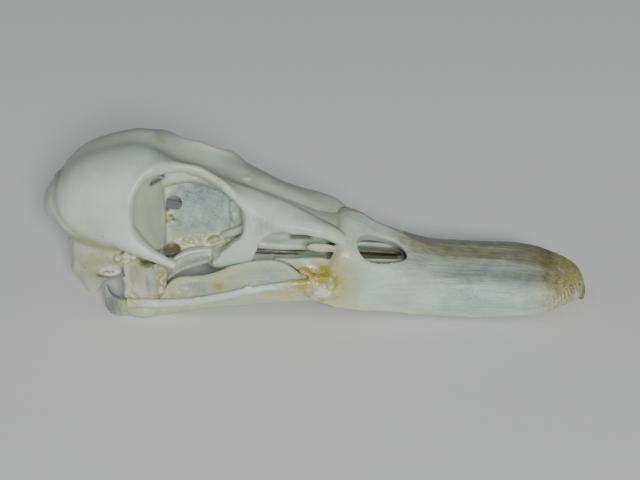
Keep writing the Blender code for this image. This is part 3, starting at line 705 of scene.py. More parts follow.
# %% Dome, forehead and eye sockets
def braincase():
    """The brain's dome, from the back of the head to the back of the eye sockets."""
    rings = []
    for x in np.linspace(BRAINCASE[0][0], BRAINCASE[-1][0], 60):
        at = at_station(BRAINCASE, x)
        ring = []
        for y, rise in oval(84, at["half"], 1.0, 2.15):
            reach = at["top"] - at["wide"] if rise > 0 else at["wide"] - at["bottom"]
            groove = at["groove"] * math.exp(-((y / GROOVE_HALF_WIDTH) ** 2)) if rise > 0 else 0.0
            ring.append((x, y, at["wide"] + rise * reach - groove))
        rings.append(ring)
    return loft("braincase", rings)


def roof():
    """The forehead plate, waisted over the eyes, with a valley between its two raised rims."""
    rings = []
    for x in np.linspace(ROOF[0][0], ROOF[-1][0], 80):
        at = at_station(ROOF, x)
        half = [(at["crest_y"], at["crest"]), (at["shoulder_y"], at["shoulder"]),
                (at["edge_y"], at["edge"])]
        profile = [(-y, z) for y, z in reversed(half)] + [(0.0, at["valley"])] + half
        top = [(x, y, z) for y, z in along_curve(profile, 7)]
        under = [(x, y * 0.93, z - ROOF_THICKNESS) for x, y, z in reversed(top)]
        rings.append(top + under)
    return loft("roof", rings)


def orbit_cutter(side):
    """The hollow of one eye socket, from the wall outwards."""
    rings = []
    inner, outer = ORBIT[0][0], ORBIT[-1][0]
    for share in np.linspace(0, 1, 32) ** 1.7:
        reach = inner + (outer - inner) * share
        at = at_station(ORBIT, reach)
        middle, half = (at["back"] + ORBIT_FRONT_X) / 2, (ORBIT_FRONT_X - at["back"]) / 2
        centre = (at["low"] + at["high"]) / 2
        lean = 0.07 * max(0.0, 1 - reach / 8)
        rings.append([
            (middle + a + lean * b * (1 - a / half), side * reach, centre + b)
            for a, b in oval(64, half, (at["high"] - at["low"]) / 2, 2.4)
        ])
    return loft("orbit_hollow", rings)


def septum():
    """The wall between the eye sockets, thin in its middle and thick at its edges."""
    outline = [
        (-35.0, 31.4, 0), (-27.0, 30.0, 0), (-19.0, 26.6, 0), (-8.0, 21.2, 0), (0.0, 17.2, 0),
        (5.0, 15.0, 0), (5.4, 13.2, 0), (-1.0, 12.0, 0), (-8.0, 11.6, 0), (-24.0, 10.4, 0),
        (-35.0, 10.4, 0),
    ]
    half = SEPTUM_THICKNESS / 2
    wall = plate("septum", outline, RIGHT, -half, half)
    rostrum = rod("rostrum", [
        (-39, 0, 10.4, 4.2, 1.8), (-32, 0, 10.6, 2.8, 1.7), (-26, 0, 11.2, 1.6, 1.5),
        (-21.5, 0, 12.2, 1.9, 1.8), (-16, 0, 12.0, 1.3, 1.3), (-8, 0, 11.2, 0.9, 0.75),
        (4, 0, 11.2, 0.8, 0.6),
    ])
    brow = rod("brow", [
        (-35.0, 0, 29.8, 5.4, 3.0), (-31.6, 0, 28.8, 4.0, 3.0), (-27.0, 0, 28.4, 1.8, 2.0),
        (-18.0, 0, 25.0, 1.4, 1.2),
    ])
    post = upright_form("post", [
        (25.4, -17.0, 0.0, 1.4, 1.6), (22.0, -16.6, 0.0, 1.4, 1.4), (16.0, -16.2, 0.0, 1.5, 1.5),
        (11.5, -16.0, 0.0, 1.6, 1.2),
    ], RIGHT)
    crests = lumps(
        "crest", LEFT, (-19.0, 0, 14.6, 1.6, 1.5, 0.5, -50), (-20.6, 0, 14.2, 2.0, 1.9, 0.4, -24),
        (-24.6, 0, 13.4, 1.8, 1.5, 0.4, -6), (-27.4, 0, 12.8, 1.6, 1.9, 0.5, 10),
        (-25.8, 0, 11.9, 1.4, 1.5, 0.6, -20), (-18.0, 0, 18.6, 0.5, 1.9, 1.5, 0),
        (-17.6, 0, 22.6, 0.5, 1.5, 1.6, 0), (-18.4, 0, 20.6, 0.4, 1.9, 1.2, 0),
    )
    return [wall, rostrum, brow, post, *crests]

# %% [markdown]
# Below the dome stand the processes: the blunt one behind the ear, the long one behind the eye, and
# in front of the eye a thin blade with a notch for the tear duct. What is open in the real bone is
# cut out of it: the great hole for the spinal cord, the holes for nerves, and the slit in the socket.

# %% Back of the head and side forms
def occiput():
    """The back of the head below the dome, with the ball that the neck turned on."""
    ball = ellipsoid("condyle", (-51.9, 0, 11.8), (1.7, 1.7, 1.4))
    return [hollow("occiput", OCCIPUT, 2.8, 24), ball]


def ear(side):
    """The wall behind the ear, the ring of small lumps on it and the shelf over the quadrate."""
    wall = ellipsoid("ear_wall", (-44.2, side * 9.0, 10.3), (3.4, 1.5, 2.9), 8)
    drum = ellipsoid("ear_drum", (EAR["x"], side * 10.1, EAR["z"]), (2.5, 0.7, 1.2), -4)
    ring = [
        ellipsoid("ear_lump", (EAR["x"] + a, side * 10.6, EAR["z"] + b), (r, 0.45, 0.8 * r))
        for a, b, r in ((-1.8, 0.1, 0.55), (-1.0, 0.6, 0.5), (-0.9, -0.5, 0.4), (0.0, 0.6, 0.5),
                        (0.1, -0.5, 0.5), (1.0, 0.5, 0.5), (1.1, -0.4, 0.4), (1.9, 0.1, 0.45))
    ]
    shelf = lumps(
        "shelf_lump", side,
        (-42.6, 10.2, 13.4, 1.2, 0.9, 0.84, 0), (-41.2, 11.2, 14.3, 1.2, 0.9, 0.84, 0),
        (-39.6, 11.8, 14.9, 1.1, 0.9, 0.77, 0), (-38.0, 12.1, 14.9, 0.9, 0.9, 0.63, 0),
    )
    return [wall, drum, *ring, *shelf]


def side_forms(side):
    """What one side of the cranium adds: its processes and the blade in front of the eye."""
    postorbital = rod("postorbital", [
        (-45.0, 8.4, 22.0, 3.0, 4.4), (-40.4, 10.9, 19.8, 2.5, 3.7),
        (-37.0, 12.6, 17.9, 1.8, 2.3), (-33.4, 13.6, 16.1, 1.1, 1.3),
        (-29.2, 14.1, 14.2, 0.7, 0.8),
    ], side)
    paroccipital = upright_form("paroccipital", [
        (15.0, -46.6, 8.4, 5.0, 2.4), (10.0, -47.1, 8.8, 4.0, 1.7),
        (7.0, -47.2, 8.8, 2.4, 1.1), (4.2, -47.2, 8.6, 0.8, 0.7),
    ], side)
    neck_corner = ellipsoid("neck_corner", (-50.2, side * 8.8, 10.8), (1.5, 1.6, 2.0))
    ectethmoid = upright_form("ectethmoid", [
        (27.0, -15.6, 4.6, 1.0, 3.4), (21.0, -15.0, 4.2, 1.0, 3.4),
        (14.0, -14.8, 2.4, 1.0, 2.2), (12.0, -14.8, 1.2, 0.9, 1.2),
    ], side, 3.0)
    blade = plate("lacrimal", LACRIMAL, side, 7.8, 9.25)
    lip = rod("notch_lip", [
        (-20.4, 1.4, 14.4, 0.8, 0.8), (-18.8, 2.8, 15.7, 0.9, 0.9),
        (-16.8, 3.8, 17.0, 0.9, 0.9), (-15.2, 5.2, 18.4, 0.8, 0.8),
    ], side)
    web = rod("web", [
        (-20.8, 0.8, 11.8, 2.2, 1.2), (-20.2, 4.0, 11.7, 2.6, 1.1),
        (-18.8, 8.0, 12.4, 2.6, 1.2),
    ], side)
    return [postorbital, paroccipital, neck_corner, ectethmoid, blade, lip, web, *ear(side)]


def side_openings(side):
    """The openings of one side: ear, nerve hole, slit, and the gaps of the eye socket."""
    slit = [(x, -y, z, 0.9, 0.50) for x, y, z in SLIT]
    tear = [(x, -y, z, 1.4, 0.42) for x, y, z in TEAR_NOTCH]
    holes = lumps(
        "hole", side, (-42.4, 11.2, 7.2, 2.8, 2.4, 1.2, -10), (-55.2, 4.6, 18.4, 2.2, 1.5, 1.1, 0),
        (-31.2, 3.4, 11.5, 2.3, 3.0, 1.35, 0), (-36.6, 11.6, 13.0, 2.7, 3.0, 0.75, 14),
        (-22.4, 1.9, 12.9, 2.1, 1.5, 0.95, -14),
    )
    return [*holes, rod("slit", slit, side), rod("tear_notch", tear, side)]

# %% The whole cranium
def cranium():
    """The cranium as one bone: dome, forehead, septum, occiput and processes."""
    dome = braincase()
    boolean(dome, [orbit_cutter(side) for side in SIDES], "DIFFERENCE")
    forms = [dome, roof(), *septum(), *occiput()]
    x, z, radius = OPTIC_HOLE["x"], OPTIC_HOLE["z"], OPTIC_HOLE["radius"]
    cutters = [
        ellipsoid("foramen_magnum", (-53.0, 0, 16.0), (4.8, 2.8, 2.4)),
        round_hole("optic_hole", x, z, radius, radius, 3),
        round_hole("optic_notch", x - 0.95 * radius, z - 0.9 * radius, 0.5, 0.7, 1.6),
    ]
    for side in SIDES:
        forms += side_forms(side)
        cutters += side_openings(side)
    return grow("dry_cranium", forms, cutters, 0.32, 3)


skull = cranium()
print("the cranium has", len(skull.data.vertices), "points")

# %% [markdown]
# ## Cranium: crests and holes
# A voxel skin still shows where its raw forms met, so the crown, the neck and the side of the forehead
# are evened out first. Then the rim of the eye socket is raised to a rounded lip, a thin crest runs
# round the back of the head, where the neck muscles ended, and the small holes are pressed in.

# %% Evening out the cranium
points, normals, right, x, y, z = survey(skull)
crown = within(x, -40, -36, -29, -25) * ramp(z, 30.5, 32.5)
neck = ramp(x, -41, -45) * within(z, 10, 13, 18, 21)
plate_side = within(x, -17.5, -15, -3, 0) * ramp(y, -4.6, -6.0) * ramp(z, 18.5, 20.5)
cave = spot(right, (-32.5, -4.5, 29.0), (3.2, 4.0, 2.6)) * ramp(normals[:, 2], 0.3, -0.1)
uneven = np.clip(crown + neck + 0.8 * plate_side + cave, 0, 1)
write_skin(skull, evened(skull, points, uneven, 24))
print("evened out", int((uneven > 0.5).sum()), "of", len(points), "points of the cranium")

# %% Paths and places on the cranium
RIM = [(-38.0, -13.0, 19.5), (-38.2, -12.7, 22.0), (-38.2, -12.3, 25.1), (-37.9, -12.0, 28.5),
       (-36.7, -10.9, 31.3), (-35.0, -9.2, 33.2), (-32.8, -7.6, 34.0), (-28.5, -6.2, 33.6),
       (-24.5, -5.8, 32.3), (-21.4, -6.4, 30.8), (-19.4, -7.4, 29.8)]
NECK_LINE = np.array([
    (-54.8, 0.0, 27.2), (-54.9, -3.8, 26.2), (-54.8, -5.6, 24.6), (-54.2, -7.4, 23.0),
    (-53.0, -8.9, 21.4), (-51.7, -10.0, 20.1), (-50.1, -10.5, 18.8), (-46.9, -11.3, 17.8),
])
NECK_CREST = NECK_LINE + (-0.5, 0.0, -0.2)
CREST_FOOT = NECK_LINE + (1.1, 0.0, 0.6)
FORAMEN = {"x": -22.4, "z": 13.2, "half_length": 2.1, "half_height": 1.1}
EAR_HOLES = [(-44.4, -11.0, 10.4), (-42.6, -11.0, 10.6)]
BROW_HOLE = (-30.2, -0.6, 26.3)
SPONGY = [(-33.2, -1.6, 19.4), (-32.9, -1.2, 18.2), (-32.3, -0.8, 17.0), (-31.3, -0.6, 18.3),
          (-30.9, -0.6, 17.4)]


def foramen_edge(x, y, z):
    """1 on the edge of the oval hole at the foot of the wall, less inside it and more outside."""
    along = (x - FORAMEN["x"]) / FORAMEN["half_length"]
    up = (z - FORAMEN["z"] - 0.25 * (x - FORAMEN["x"])) / FORAMEN["half_height"]
    return np.hypot(along, up) + 3 * ramp(y, -2.8, -3.4)


def near_edge(distance, width):
    """A bell curve round the edge where the distance is 1."""
    return np.exp(-(((distance - 1) / width) ** 2))


points, normals, right, x, y, z = survey(skull)
valley = np.interp(x, [s[0] for s in ROOF], [s[1]["valley"] for s in ROOF])
on_wall = ramp(y, -2.8, -0.9) * within(x, -34.0, -31.0, -16.5, -15)
on_wall *= ramp(z, 10.5, 12.0) * ramp(valley - z, 1.5, 2.6)
front_of_wall = on_wall * ramp(x, -20.5, -18.5)
drum = ramp(spot(right, (EAR["x"], -10.6, EAR["z"]), (2.9, 1.4, 1.5)), 0.3, 0.7)
holes = spots(right, SPONGY, 0.42)
rough_back = spot(right, (-46.5, -10.0, 12.0), (5.0, 4.0, 5.0))
shelf = spot(right, (-40.4, -11.4, 14.2), (2.8, 2.0, 1.6))

# %% Cranium relief
push = 0.40 * stroke(right, RIM, 1.2)
crest = 0.20 * stroke(right, on_skin(right, NECK_CREST), 0.8)
crest -= 0.14 * stroke(right, on_skin(right, CREST_FOOT), 0.9)
push += crest * ramp(x, -47.5, -51.5)
oval_edge = foramen_edge(x, y, z)
push += 0.28 * near_edge(oval_edge, 0.22) - 0.35 * ramp(oval_edge, 0.9, 0.5)
push += 0.30 * spot(right, (-32.4, -1.2, 18.6), (1.7, 1.4, 2.0)) - 0.7 * holes
push -= 0.3 * spots(right, on_skin(right, EAR_HOLES), 0.22) + 0.5 * spots(right, [BROW_HOLE], 0.35)
push += 0.14 * front_of_wall * np.sin(points[:, 0] * 6.0 + 1.5 * clouds(points, 4.0, 3))
for depth, where, size, seed in (
    (0.16, on_wall * ramp(z, 15.5, 13.5), 1.2, 8), (0.05, on_wall, 0.9, 9),
    (0.22, drum, 0.7, 42), (0.14, rough_back, 1.6, 4), (0.4, shelf, 0.9, 41), (0.05, 1.0, 5.0, 5),
):
    push += depth * where * clouds(points, size, seed)
write_skin(skull, points + normals * push[:, None])
print("cranium relief from", round(push.min(), 2), "to", round(push.max(), 2), "mm")

# %% [markdown]
# ## Cranium: stains
# The wall between the eyes is so thin that it looks blue-grey, and it is mottled. Yellow spongy bone
# with small holes lies where it meets the braincase. Fat has stained the back of the head and what
# lies under the dome. The rims are worn to a pale chalky tone, and the long process by the eye gets a
# painted highlight. The small holes are dark brown, and painted shade darkens the slits, gaps and
# hollows, the underside of the dome, the back of the head and the tops.

# %% Where the cranium is stained, and where shade and highlight are painted
THINNEST = [(-27.2, 0, 23.2), (-24.6, 0, 24.0), (-25.6, 0, 26.2)]
ZYGOMA = [(-42.0, -12.8, 19.6), (-38.0, -13.8, 18.2), (-33.4, -14.5, 16.2), (-29.4, -14.6, 14.4)]
DOME_FOOT = [(-50.5, -10.2, 17.0), (-46.0, -11.0, 15.8), (-41.0, -12.0, 15.6), (-36.0, -13.6, 15.0),
             (-32.0, -14.0, 13.8)]
UNDER_RIM = [(-29, -6.0, 31.4), (-26, -5.5, 30.9), (-22, -5.6, 30.0)]
UNDER_EAR = [(-45.8, -10.2, 9.4), (-43.4, -10.4, 8.7), (-41.2, -10.4, 9.0)]
SOCKET_GAP = [(-36.6, -11.2, 13.0), (-35.2, -10.6, 12.6)]
TEMPLE_HOLES = [(-44.6, -12.4, 20.9), (-44.1, -12.6, 20.1)]

points, normals, right, x, y, z = survey(skull)
deep = hollowness(skull, points, normals)
large, small = clouds(points, 6.0, 6), clouds(points, 1.6, 7)
spongy = spot(right, (-32.3, -1.2, 18.6), (1.7, 1.6, 2.2))
window = ((x + 25.2) / 7.6) ** 2 + ((z - 20.2) / 7.8) ** 2 + 0.25 * small
window = on_wall * ramp(window, 1.15, 0.85) * (1 - spongy) * ramp(z - 0.25 * x, 18.6, 20.0)
frame_bone = on_wall - window
thinnest = window * spots(right, THINNEST, 1.5)
# Painted shade under the dome, on its faces that turn down.
under_dome = stroke(right, DOME_FOOT, 2.6) * ramp(normals[:, 2], 0.25, -0.3)
crest_foot = stroke(right, on_skin(right, CREST_FOOT), 1.0)
oval_edge = foramen_edge(x, y, z)
rostrum_side = stroke(right, [(-29, -1.5, 12.4), (-24, -1.5, 12.6), (-19.5, -2.5, 13.5)], 1.7)
# The right side of the forehead, which gets a painted highlight on its upward faces in place of the
# painted shade of the tops.
near_front = within(x, -24, -18, 0, 4) * ramp(points[:, 1], -3.0, -5.0)
# Faces that turn up, for painted shade on the tops, and the socket's rear wall that faces forward, for
# fat and painted shade.
upward = ramp(normals[:, 2], 0.45, 0.9) * ramp(z, 15, 18) * (1 + ramp(x, -24, -10))
socket = ramp(normals[:, 0], 0.15, 0.5) * ramp(x, -31.5, -33.0) * ramp(y, -1.0, -2.5)
socket *= ramp(z, 11, 13)
plate_low = spot(right, (-10.8, -9.3, 21.2), (5.5, 2.0, 2.6))
print("the thin window covers", round(100 * float((window > 0.5).mean()), 1), "% of the points")

# %% Thin, fatty and chalky places of the cranium, with painted highlight and painted shade
thin = window * (0.62 + 0.20 * small + 0.24 * ramp(large, -0.1, 0.5)) + 0.7 * thinnest
# The grey spot inside the window in front of the eye is painted shade, laid on in blue-grey like the
# thin plates.
thin += 0.6 * spot(points, (-9.0, -0.6, 12.9), (2.8, 1.6, 0.9))
thin += 0.35 * spot(right, (-33.0, -1.5, 14.6), (2.4, 1.8, 2.4)) * (0.8 + 0.5 * small)
thin += 0.45 * plate_low * (0.6 + 0.5 * small) + 0.22 * ramp(large, 0.25, 0.8) * (1 - on_wall)

fat = patches(right, {
    "upper rear corner of the wall": (0.6, (-31.0, -2.4, 27.0), (1.7, 1.8, 1.7)),
    "foot of the wall": (0.30, (-22.0, -1.5, 12.0), (10.0, 3.0, 2.4)),
    "inner end of the tear notch": (0.35, (-18.6, -3.0, 16.0), (2.6, 2.4, 1.8)),
})
fat += 0.75 * spongy + 0.22 * socket + 0.35 * rostrum_side + 0.35 * frame_bone
fat += 0.70 * rough_back + 0.60 * under_dome + 0.15 * crest_foot + 0.6 * shelf
fat += 0.5 * stroke(right, UNDER_RIM, 0.9) + 0.25 * ramp(x, 0.5, 4.0)
fat += 0.35 * ramp(deep, 0.05, 0.4) + 0.12 * ramp(large, 0.1, 0.6)

amber = 0.3 * spot(right, (-31.0, -2.4, 26.6), (1.2, 1.4, 1.2))
amber += 0.25 * (rough_back + frame_bone) * ramp(small, 0.0, 0.6)

# Painted highlight along the long process by the eye, besides the chalky ear drum.
chalk = 0.85 * drum * ramp(deep, 0.12, -0.02) + 0.45 * stroke(right, ZYGOMA, 1.8)
chalk += 0.45 * front_of_wall * ramp(small, 0.0, 0.5) + 0.5 * spongy * ramp(deep, 0.0, -0.25)
chalk += (0.45 * frame_bone + 0.6 * rostrum_side) * ramp(clouds(points, 0.8, 10), 0.0, 0.4)
# Painted highlight on the upward faces of the right forehead, besides the chalky rim of the oval hole.
chalk += 0.5 * near_edge(oval_edge, 0.25) + 0.32 * near_front * ramp(normals[:, 2], 0.3, 0.8)

# %% Dirt and painted shade of the cranium
# Dark brown in the small holes; painted shade in the slit, the tear notch, the gaps by the quadrate
# and under the ear, the hole at the foot of the socket, the inside of the oval hole, between the ear's
# lumps and in the hollows.
soil = 0.9 * holes + 0.6 * spots(right, on_skin(right, EAR_HOLES), 0.25)
soil += 0.8 * spots(right, [(-30.2, -2.2, 26.9)], 0.4) + 0.7 * spots(right, TEMPLE_HOLES, 0.22)
soil += 0.95 * stroke(right, SLIT, 0.75) + 0.85 * stroke(right, TEAR_NOTCH, 0.6)
soil += 0.8 * spots(right, SOCKET_GAP, 1.1) + 0.6 * stroke(right, UNDER_EAR, 0.55)
soil += 0.85 * ramp(spot(right, (-31.2, -1.8, 10.8), (2.2, 2.4, 1.2)), 0.2, 0.6)
soil += 0.5 * ramp(oval_edge, 0.85, 0.55) * (0.6 + 0.4 * ramp(x, -21.5, -23.5))
soil += 0.6 * ramp(deep, 0.3, 1.0) + 0.35 * drum * ramp(deep, 0.06, 0.25)
# The back of the head below the dome is darkened, partly as a brown stain and partly as painted shade;
# painted shade also darkens the dome's underside, the foot of the neck crest, the socket's rear wall
# and the back end of the skull, and the thinnest window is darkened too.
soil += 0.34 * spot(right, (-48.0, -9.0, 11.0), (6.5, 6.0, 6.5)) + 0.28 * under_dome
soil += 0.12 * (crest_foot + socket + thinnest) + 0.17 * ramp(x, -50, -55)
# Painted shade: a dark patch inside the window in front of the eye.
soil += 0.8 * within(x, -6.8, -5.6, -2.0, -0.8) * within(z, 12.9, 13.7, 14.8, 15.4)
# Painted shade on the tops, except on the right forehead; the mottling of the wall is a stain.
soil += 0.15 * upward * (1 - near_front) + 0.07 * on_wall * ramp(small, 0.2, 0.7)
lined = 1.2 * plate_low + 0.8 * front_of_wall + 0.3 * window
porous = 0.35 * rough_back + 0.3 * window + 0.5 * spongy
note(skull, thin=thin, fat=fat, amber=amber, chalk=chalk, soil=soil, lined=lined, porous=porous)
finish_bone(skull, "cranium_bone", "cranium")

# %% [markdown]
# ## Upper bill
# The bill is a broad arch over the lower jaw, with a ridge on its back that comes down from between
# the eyes and dies out past the nostrils. The shell is hollow underneath and inside the nose. Towards
# the tip it is brown and full of small pits, where nerves came through, and it ends in a hooked nail.

# %% Bill stations
BILL_TIP_X = 57.2
BILL_HALF_WIDTH = 11.4
NOSTRIL = {"x": 13.4, "y": 5.7, "z": 14.2, "half_length": 5.3, "half_width": 3.2}

BILL = stations("half body ridge spread edge square", [
    (-6.2, 11.7, 9.3, 0.0, 4.0, 8.3, 2.6),
    (-4.2, 11.2, 9.9, 0.0, 4.0, 7.0, 2.6),
    (-1.0, 10.9, 11.4, 0.0, 4.0, 4.6, 2.8),
    (1.6, 10.8, 13.8, 0.0, 5.0, 3.4, 3.0),
    (4.7, 10.7, 18.2, 1.4, 5.0, 2.4, 3.5),
    (8.7, 10.6, 17.0, 2.7, 3.8, 1.9, 3.6),
    (13.0, 10.5, 14.5, 2.7, 3.2, 1.7, 3.6),
    (17.4, 10.5, 13.1, 2.1, 2.8, 1.4, 3.2),
    (20.5, 10.6, 12.1, 1.4, 2.6, 1.2, 3.0),
    (26.0, 10.8, 11.0, 0.4, 2.6, 1.0, 2.8),
    (35.0, 11.2, 10.6, 0.0, 2.6, 1.1, 2.6),
    (42.0, BILL_HALF_WIDTH, 10.3, 0.0, 2.6, 1.6, 2.6),
    (47.5, 10.6, 9.7, 0.0, 2.6, 1.9, 2.5),
    (51.6, 8.6, 8.6, 0.0, 2.6, 2.5, 2.4),
    (54.4, 6.8, 7.7, 0.0, 2.6, 2.9, 2.3),
    (56.4, 4.7, 6.5, 0.0, 2.6, 2.6, 2.2),
    (BILL_TIP_X, 2.9, 5.1, 0.0, 2.6, 2.3, 2.2),
])
ARCH_POINTS = 96

# %% Stations of the bill's hollows
TROUGH = stations("half top bottom", [
    (-8.0, 10.5, 9.8, -3.0),
    (-3.4, 10.0, 9.7, -3.0),
    (2.0, 9.4, 9.4, -3.0),
    (18.0, 9.3, 9.1, -3.0),
    (38.0, 10.0, 7.8, -2.0),
    (47.0, 9.2, 6.8, -1.0),
    (51.0, 7.3, 6.0, 0.0),
    (54.0, 4.6, 5.0, 1.0),
])

NOSE = stations("half top bottom", [
    (-8.0, 8.3, 24.0, 9.6),
    (2.6, 8.0, 16.8, 10.4),
    (8.0, 7.2, 15.2, 10.1),
    (14.0, 6.9, 13.4, 9.9),
    (19.0, 5.6, 12.0, 9.8),
    (22.0, 3.6, 11.2, 9.8),
])
PALATE_SLIT = {"x": 12.8, "half_length": 4.6, "half_width": 0.7, "z": 9.2}

# %% [markdown]
# The shell is an arched loft with its hollows cut out: the trough over the jaw, the nose, the window
# in front of the eye, the nostrils and the slit in the palate. The cheek's lumps and a thin sheet are
# added where the cheek bar grew on to the bill.

# %% Bill forms
def arch(x, at):
    """One cross-section of the bill: upright sides, a low arched roof and the ridge on it."""
    ring = []
    for y, rise in oval(ARCH_POINTS, at["half"], 1.0, at["square"])[: ARCH_POINTS // 2 + 1]:
        height = max(rise, 0.0) * (at["body"] - at["edge"])
        ridge = at["ridge"] * math.exp(-((y / at["spread"]) ** 2)) if rise > 0 else 0.0
        ring.append((x, y, at["edge"] + height + ridge))
    under = [(x, share * at["half"], at["edge"]) for share in (-0.5, 0.0, 0.5)]
    return ring + under


def nostril_cutter(side):
    """One long oval nostril, cut square to the slope of the bill's side."""
    centre = Vector((NOSTRIL["x"], side * NOSTRIL["y"], NOSTRIL["z"]))
    out = Vector((0, side * 0.47, 0.88)).normalized()
    along = Vector((1, 0, -0.14)).normalized()
    up = out.cross(along) * -side
    ring = []
    for a, b in oval(40, NOSTRIL["half_length"], NOSTRIL["half_width"], 2.3):
        reach = b * (1 - 0.35 * a / NOSTRIL["half_length"]) if b < 0 else b
        ring.append(along * a + up * reach)
    return loft("nostril", [[centre + out * depth + p for p in ring] for depth in (7, -3.2)])


def cheek_forms(side):
    """The crusty lumps where the cheek bar is fused to the bill, and the lip behind the pillar."""
    crumbs = lumps(
        "cheek_lump", side, (1.5, 10.7, 6.1, 2.6, 0.9, 1.5, 8), (-1.6, 10.9, 7.6, 2.6, 0.9, 0.9, -14),
        (-0.6, 10.4, 9.4, 2.2, 0.9, 0.9, -24), (2.6, 10.6, 8.8, 1.4, 0.9, 1.6, 0),
        (-2.6, 9.6, 10.6, 1.6, 0.9, 0.7, 20),
    )
    lip = ellipsoid("lip", (0.6, side * 7.6, 15.5), (3.3, 0.6, 1.15), 4)
    sheet = plate("cheek_sheet", [
        (-9.4, 12.7, 0.8), (-5.0, 12.9, 0.8), (2.0, 13.0, 0.4), (3.0, 9.0, 0.0), (-1.6, 8.2, 0.0),
        (-3.4, 9.2, 0.0), (-4.6, 10.6, 0.2), (-6.6, 12.0, 0.6),
    ], side, 8.0, 9.0)
    inner_bar = rod("inner_bar", [
        (3.0, 3.5, 10.4, 0.4, 0.5), (12, 3.5, 10.1, 0.4, 0.5), (20, 3.0, 9.9, 0.4, 0.5),
    ], side)
    return [*crumbs, lip, sheet, inner_bar]

# %% The whole upper bill
def upper_bill():
    """The upper bill, an arched shell over the lower jaw, open at the nostrils."""
    rings = [arch(x, at_station(BILL, x)) for x in np.linspace(BILL[0][0], BILL_TIP_X, 90)]
    body = loft("bill", rings)
    nail = rod("nail", [
        (53.0, 0, 5.8, 4.0, 1.5), (55.6, 0, 4.6, 3.8, 1.4), (56.8, 0, 3.1, 3.3, 1.0),
        (57.3, 0, 1.5, 2.6, 0.8), (57.3, 0, 0.0, 1.7, 0.6),
    ])
    under_nail = rod("under_nail", [
        (53.6, 0, 3.0, 3.6, 0.9), (55.2, 0, 2.1, 3.2, 0.9), (56.6, 0, 1.0, 2.4, 0.8),
    ])
    boolean(body, [nail, under_nail], "UNION")
    slit = PALATE_SLIT
    corners = [(slit["x"] + a, b) for a, b in oval(24, slit["half_length"], slit["half_width"], 3)]
    cutters = [
        hollow("trough", TROUGH, 3.4, 40), hollow("nose", NOSE, 3.0, 30),
        round_hole("antorbital", -4.4, 17.4, 7.6, 2.6, 15),
        loft("palate_slit", [[(x, y, slit["z"] + rise) for x, y in corners] for rise in (-2, 2)]),
    ]
    for cutter in (*cutters, *[nostril_cutter(side) for side in SIDES]):
        boolean(body, [cutter], "DIFFERENCE")
    root = rod("root", [
        (8.0, 0, 17.6, 3.4, 1.4), (4.4, 0, 17.4, 3.4, 1.1), (0.2, 0, 18.5, 2.8, 0.8),
        (-4.1, 0, 20.5, 2.0, 0.7), (-9.0, 0, 22.9, 1.1, 0.6), (-13.5, 0, 25.0, 0.5, 0.4),
    ])
    return grow("dry_upper_bill", [body, root, *cheek_forms(RIGHT), *cheek_forms(LEFT)], [], 0.27, 2)


bill = upper_bill()
print("the upper bill has", len(bill.data.vertices), "points")

# %% [markdown]
# The surface of the bill has a faint ridge along each side of its back, fine furrows along its
# length, and short upright furrows round the tip, where the horn of the beak held on.

# %% Evening out the bill
points, normals, right, x, y, z = survey(bill)
tip = ramp(x, 42.0, 56.0)
crust = np.minimum(patches(right, {
    "root of the cheek": (1.0, (0.6, -10.6, 7.6), (4.2, 3.0, 3.0)),
    "behind the pillar": (1.0, (-1.4, -8.6, 10.4), (2.6, 2.4, 1.2)),
}), 1)
root_end = ramp(x, 9.0, 6.5) * ramp(z, 15.0, 16.2)
write_skin(bill, evened(bill, points, np.minimum(root_end + 0.4 * crust, 1), 16))

# %% Bill relief
SIDE_RIDGE = [(19.4, -4.0, 12.4), (25.9, -3.1, 11.1), (34.5, -2.6, 10.5), (39.8, -2.9, 10.3),
              (47.1, -4.2, 9.4), (51.5, -4.6, 8.0)]
TIP_BAND = [(50.3, -8.8, 4.4), (52.3, -7.4, 4.8), (54.0, -6.1, 5.0), (55.4, -4.8, 5.3),
            (56.4, -3.4, 5.6)]
GROOVES_PER_TURN = 64
GROOVE_CENTRE_X = 47.0
NAIL_FOOT_Z = 0.6

points, normals, right, x, y, z = survey(bill)
pits = ramp(clouds(points, 0.9, 11, 2), 0.3, 0.6)
around = np.arctan2(y, x - GROOVE_CENTRE_X)
band = stroke(right, TIP_BAND, 0.85)
grooves = ramp(np.sin(around * GROOVES_PER_TURN + 1.2 * clouds(points, 2.5, 12)), 0.0, 0.8)
push = 0.16 * stroke(right, SIDE_RIDGE, 0.8) - 0.12 * tip * pits - 0.24 * band * grooves
push += 0.05 * clouds(points, 4.0, 13) + 0.50 * crust * clouds(points, 1.3, 14)
push += 0.03 * ramp(x, 8, 20) * clouds(points, 1.0, 17)
push[z < NAIL_FOOT_Z] = 0
write_skin(bill, points + normals * push[:, None])
print("bill relief from", round(push.min(), 2), "to", round(push.max(), 2), "mm")

# %% [markdown]
# The back of the bill is darker and browner along its top, and the tip is brown with dirt in its
# furrows and pits. The thin side is blue-grey in places. The crusty cheek holds amber fat under white
# lumps. Inside the nostril the floor of the nose shows, with a pale bar beside a slit painted dark as
# shade, and painted shade darkens the inside of the shell and its hollows.

# %% Where the bill is stained, and where shade is painted
CULMEN = [(15, 1.2, 16.4), (20, 1.2, 13.4), (28, 1.2, 11.4), (38, 1.2, 10.6), (50, 1.2, 9.4)]
THIN_LINE = [(20, -9, 9), (27, -10, 6.8), (36, -11, 4.6), (44, -11, 4.2)]
LOWER_EDGE = [(5, -11, 3.0), (14, -11, 2.6), (24, -11, 2.2)]
PILLAR_LIP = [(-3.6, -7.8, 12.2), (-1.6, -8.6, 11.6), (0.2, -9.4, 10.8)]

